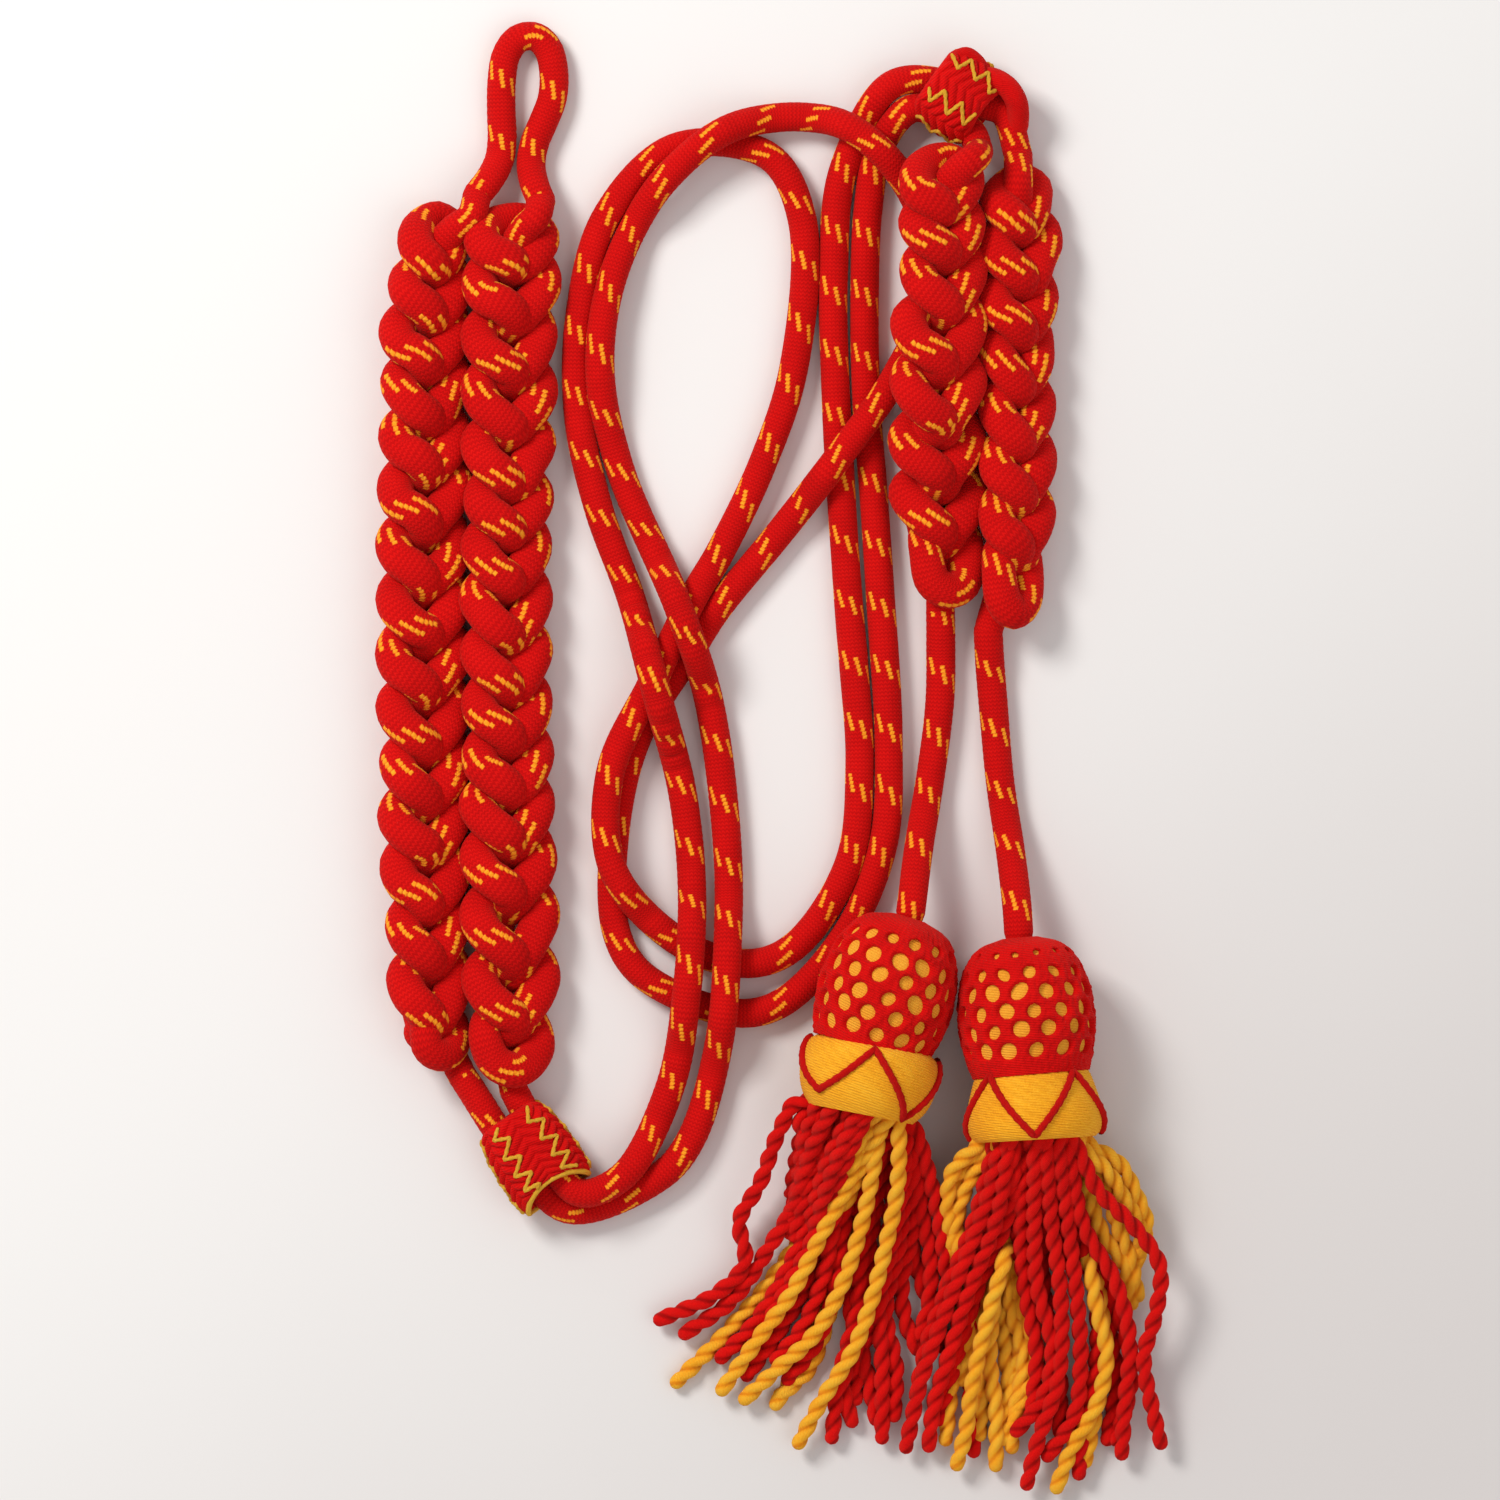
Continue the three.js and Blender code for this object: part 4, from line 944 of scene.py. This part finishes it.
for side, rows in FRINGES.items():
    acorn = ACORNS[side]
    place = lay_frame(acorn["top"], ACORN_Z, acorn["aim"], ACORN_RISE)
    aim = np.array(acorn["aim"]) / np.linalg.norm(acorn["aim"])
    normal = np.array([-aim[1], aim[0]])
    top = np.array(acorn["top"])
    foot = place(np.array([[-acorn["shift"], HEAD_LENGTH - 1.2, 0.0]]))[0]
    in_collar = lay_frame(foot[:2], foot[2], acorn["collar_aim"], ACORN_RISE)
    across = np.array([-acorn["collar_aim"][1], acorn["collar_aim"][0]])
    rng = np.random.default_rng(21 if side == "left" else 33)
    groups = {"red": [], "yellow": []}
    for n, (colour, layer, way) in enumerate(rows):
        way = np.array(way, float)
        first = way[0]
        # where it leaves the collar: its sideways place is kept, its height comes from its layer
        lateral = float((first - foot[:2]) @ across)
        lateral = max(-13.6, min(13.6, lateral))
        level = layer / 6.0
        room = math.sqrt(max(14.2 ** 2 - lateral ** 2, 0.0))
        lift = (level * 2 - 1) * room * 0.95
        tucked = min(1.0, 10.2 / max(math.hypot(lateral, lift), 0.1))
        lateral, lift = lateral * tucked, lift * tucked
        start = in_collar(np.array([[-lateral, 14.2, lift]]))[0]
        hidden = np.linalg.norm(first - start[:2]) > 13
        if hidden:
            start[2] = ACORN_Z + COLLAR_END * ACORN_RISE - 0.85 * room
        flat = resample(catmull(way, 10), 1.5)
        s = distance_along(flat)
        run = s / max(s[-1], 1e-6)
        length = s[-1] + np.linalg.norm(first - start[:2])
        # it falls from the collar and settles in its layer, and its tip lies on the surface
        settle = 2.1 + layer * 2.45 * np.clip(1.15 - run, 0, 1) ** 0.8
        fall = np.exp(-(s / 15.0) ** 1.35)
        z = settle + (start[2] - 1.0 - settle) * fall
        if hidden:                                       # it comes up from under its neighbours
            rise = np.clip(s / 12.0, 0, 1)
            z = 3.6 + (settle - 3.6) * rise * rise * (3 - 2 * rise)
        z = np.maximum(z, 2.1)
        line = np.column_stack([flat, z])
        line = np.vstack([start, line[1:] if np.linalg.norm(line[0] - start) < 1.5 else line])
        line = resample(catmull(resample(line, 4.0), 6), 0.70)
        start_v = 3.0 * n
        tip = distance_along(line)[-1]

        def rad(a, s, start_v=start_v, tip=tip):
            base = two_ply(a, s, start_v)
            blunt = np.clip((tip - s) / 2.4, 0, 1)
            return base * blunt + STRAND_R * 0.86 * (1 - blunt)
        groups[colour].append(sweep(line, 14, rad, start_v))
    # short hidden strands fill the bundle under the collar, all round and at its back
    for k in range(34):
        q = 2 * math.pi * k / 34
        r = (11.2, 8.6, 5.0)[k % 3]
        side_way, up_way = -r * math.sin(q), r * math.cos(q)       # to the right, and up
        p0 = in_collar(np.array([[-side_way, 13.2, up_way]]))[0]
        reach = 22 + 12 * rng.uniform()
        spread = 1.12
        if abs(side_way) > 7.0:                          # the outer ones keep inside the bundle
            reach, spread = reach * 0.8, 0.70
        flat = top + aim * (COLLAR_END + reach) + normal * side_way * spread
        low = max(2.1, (up_way + 13) * 0.36)
        middle = top + aim * (COLLAR_END + reach * 0.45) + normal * side_way * (0.5 + 0.5 * spread)
        line = catmull(np.array([p0, [*middle, 0.55 * p0[2] + 0.45 * low], [*flat, low]]), 12)
        line = resample(line, 0.7)
        line[:, 2] = np.maximum(line[:, 2], 2.1)
        if up_way < 3:
            tone = "red" if k % 5 else "yellow"
        elif side == "left":
            tone = "yellow" if 3 < side_way < 10 else "red"
        else:
            tone = "red" if abs(side_way) < 8.5 else "yellow"
        groups[tone].append(sweep(line, 12, lambda a, s, k=k: two_ply(a, s, 2.0 * k), 2.0 * k))
    for colour, parts in groups.items():
        v, f, u = join(parts)
        piece = make_object(f"fringe_{side}_{colour}", v, f, u, RED_STRAND if colour == "red" else YELLOW_STRAND)
        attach(piece, "root")
        pieces.append(piece)
        if colour == "red":
            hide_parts(f"fringe_{side}")

# --------------------------------------------------------- floor and lighting
floor_mesh = bpy.data.meshes.new("floor")
floor_mesh.from_pydata([(-3, -3, 0), (3, -3, 0), (3, 3, 0), (-3, 3, 0)], [], [(0, 1, 2, 3)])
floor = bpy.data.objects.new("floor", floor_mesh)
bpy.context.scene.collection.objects.link(floor)
floor_mat, tree, bsdf = nodes_of("pale_floor")
g = Build(tree)
sep = tree.nodes.new("ShaderNodeSeparateXYZ")
tree.links.new(g.coords(), sep.inputs[0])
# painted shade: the floor's colour darkens from the top left towards the bottom right, standing in for the falloff of
# the key light
way = g.math("SUBTRACT", g.math("MULTIPLY", sep.outputs[0], 0.9), g.math("MULTIPLY", sep.outputs[1], 1.1))
uneven = g.math("MULTIPLY", g.math("SUBTRACT", g.noise(g.coords(), 6.0, 2.0), 0.5), 0.06)
shade = g.smoothstep(g.math("ADD", way, uneven), -0.10, 0.34)
tree.links.new(g.mix(shade, (0.80, 0.785, 0.77), (0.66, 0.625, 0.61)), bsdf.inputs["Base Color"])
bsdf.inputs["Roughness"].default_value = 0.9
bsdf.inputs["Specular IOR Level"].default_value = 0.1
floor_mesh.materials.append(floor_mat)


def area_light(name, location, size, energy, colour=(1, 1, 1)):
    data = bpy.data.lights.new(name, "AREA")
    data.shape = "SQUARE"
    data.size = size
    data.energy = energy
    data.color = colour
    obj = bpy.data.objects.new(name, data)
    bpy.context.scene.collection.objects.link(obj)
    obj.location = location
    d = np.array([0.0, 0.0, 0.0]) - np.array(location)
    obj.rotation_euler = (math.atan2(math.hypot(d[0], d[1]), -d[2]), 0, math.atan2(d[1], d[0]) - math.pi / 2)
    return obj


area_light("key", (-0.68, 0.64, 1.0), 0.42, 13.2, (1.0, 0.99, 0.97))
area_light("fill", (0.9, -0.7, 1.8), 1.6, 7.0, (0.96, 0.97, 1.0))
world = bpy.data.worlds.new("world")
bpy.context.scene.world = world
world.use_nodes = True
world.node_tree.nodes["Background"].inputs[0].default_value = (1.0, 0.985, 0.98, 1.0)
world.node_tree.nodes["Background"].inputs[1].default_value = 0.55
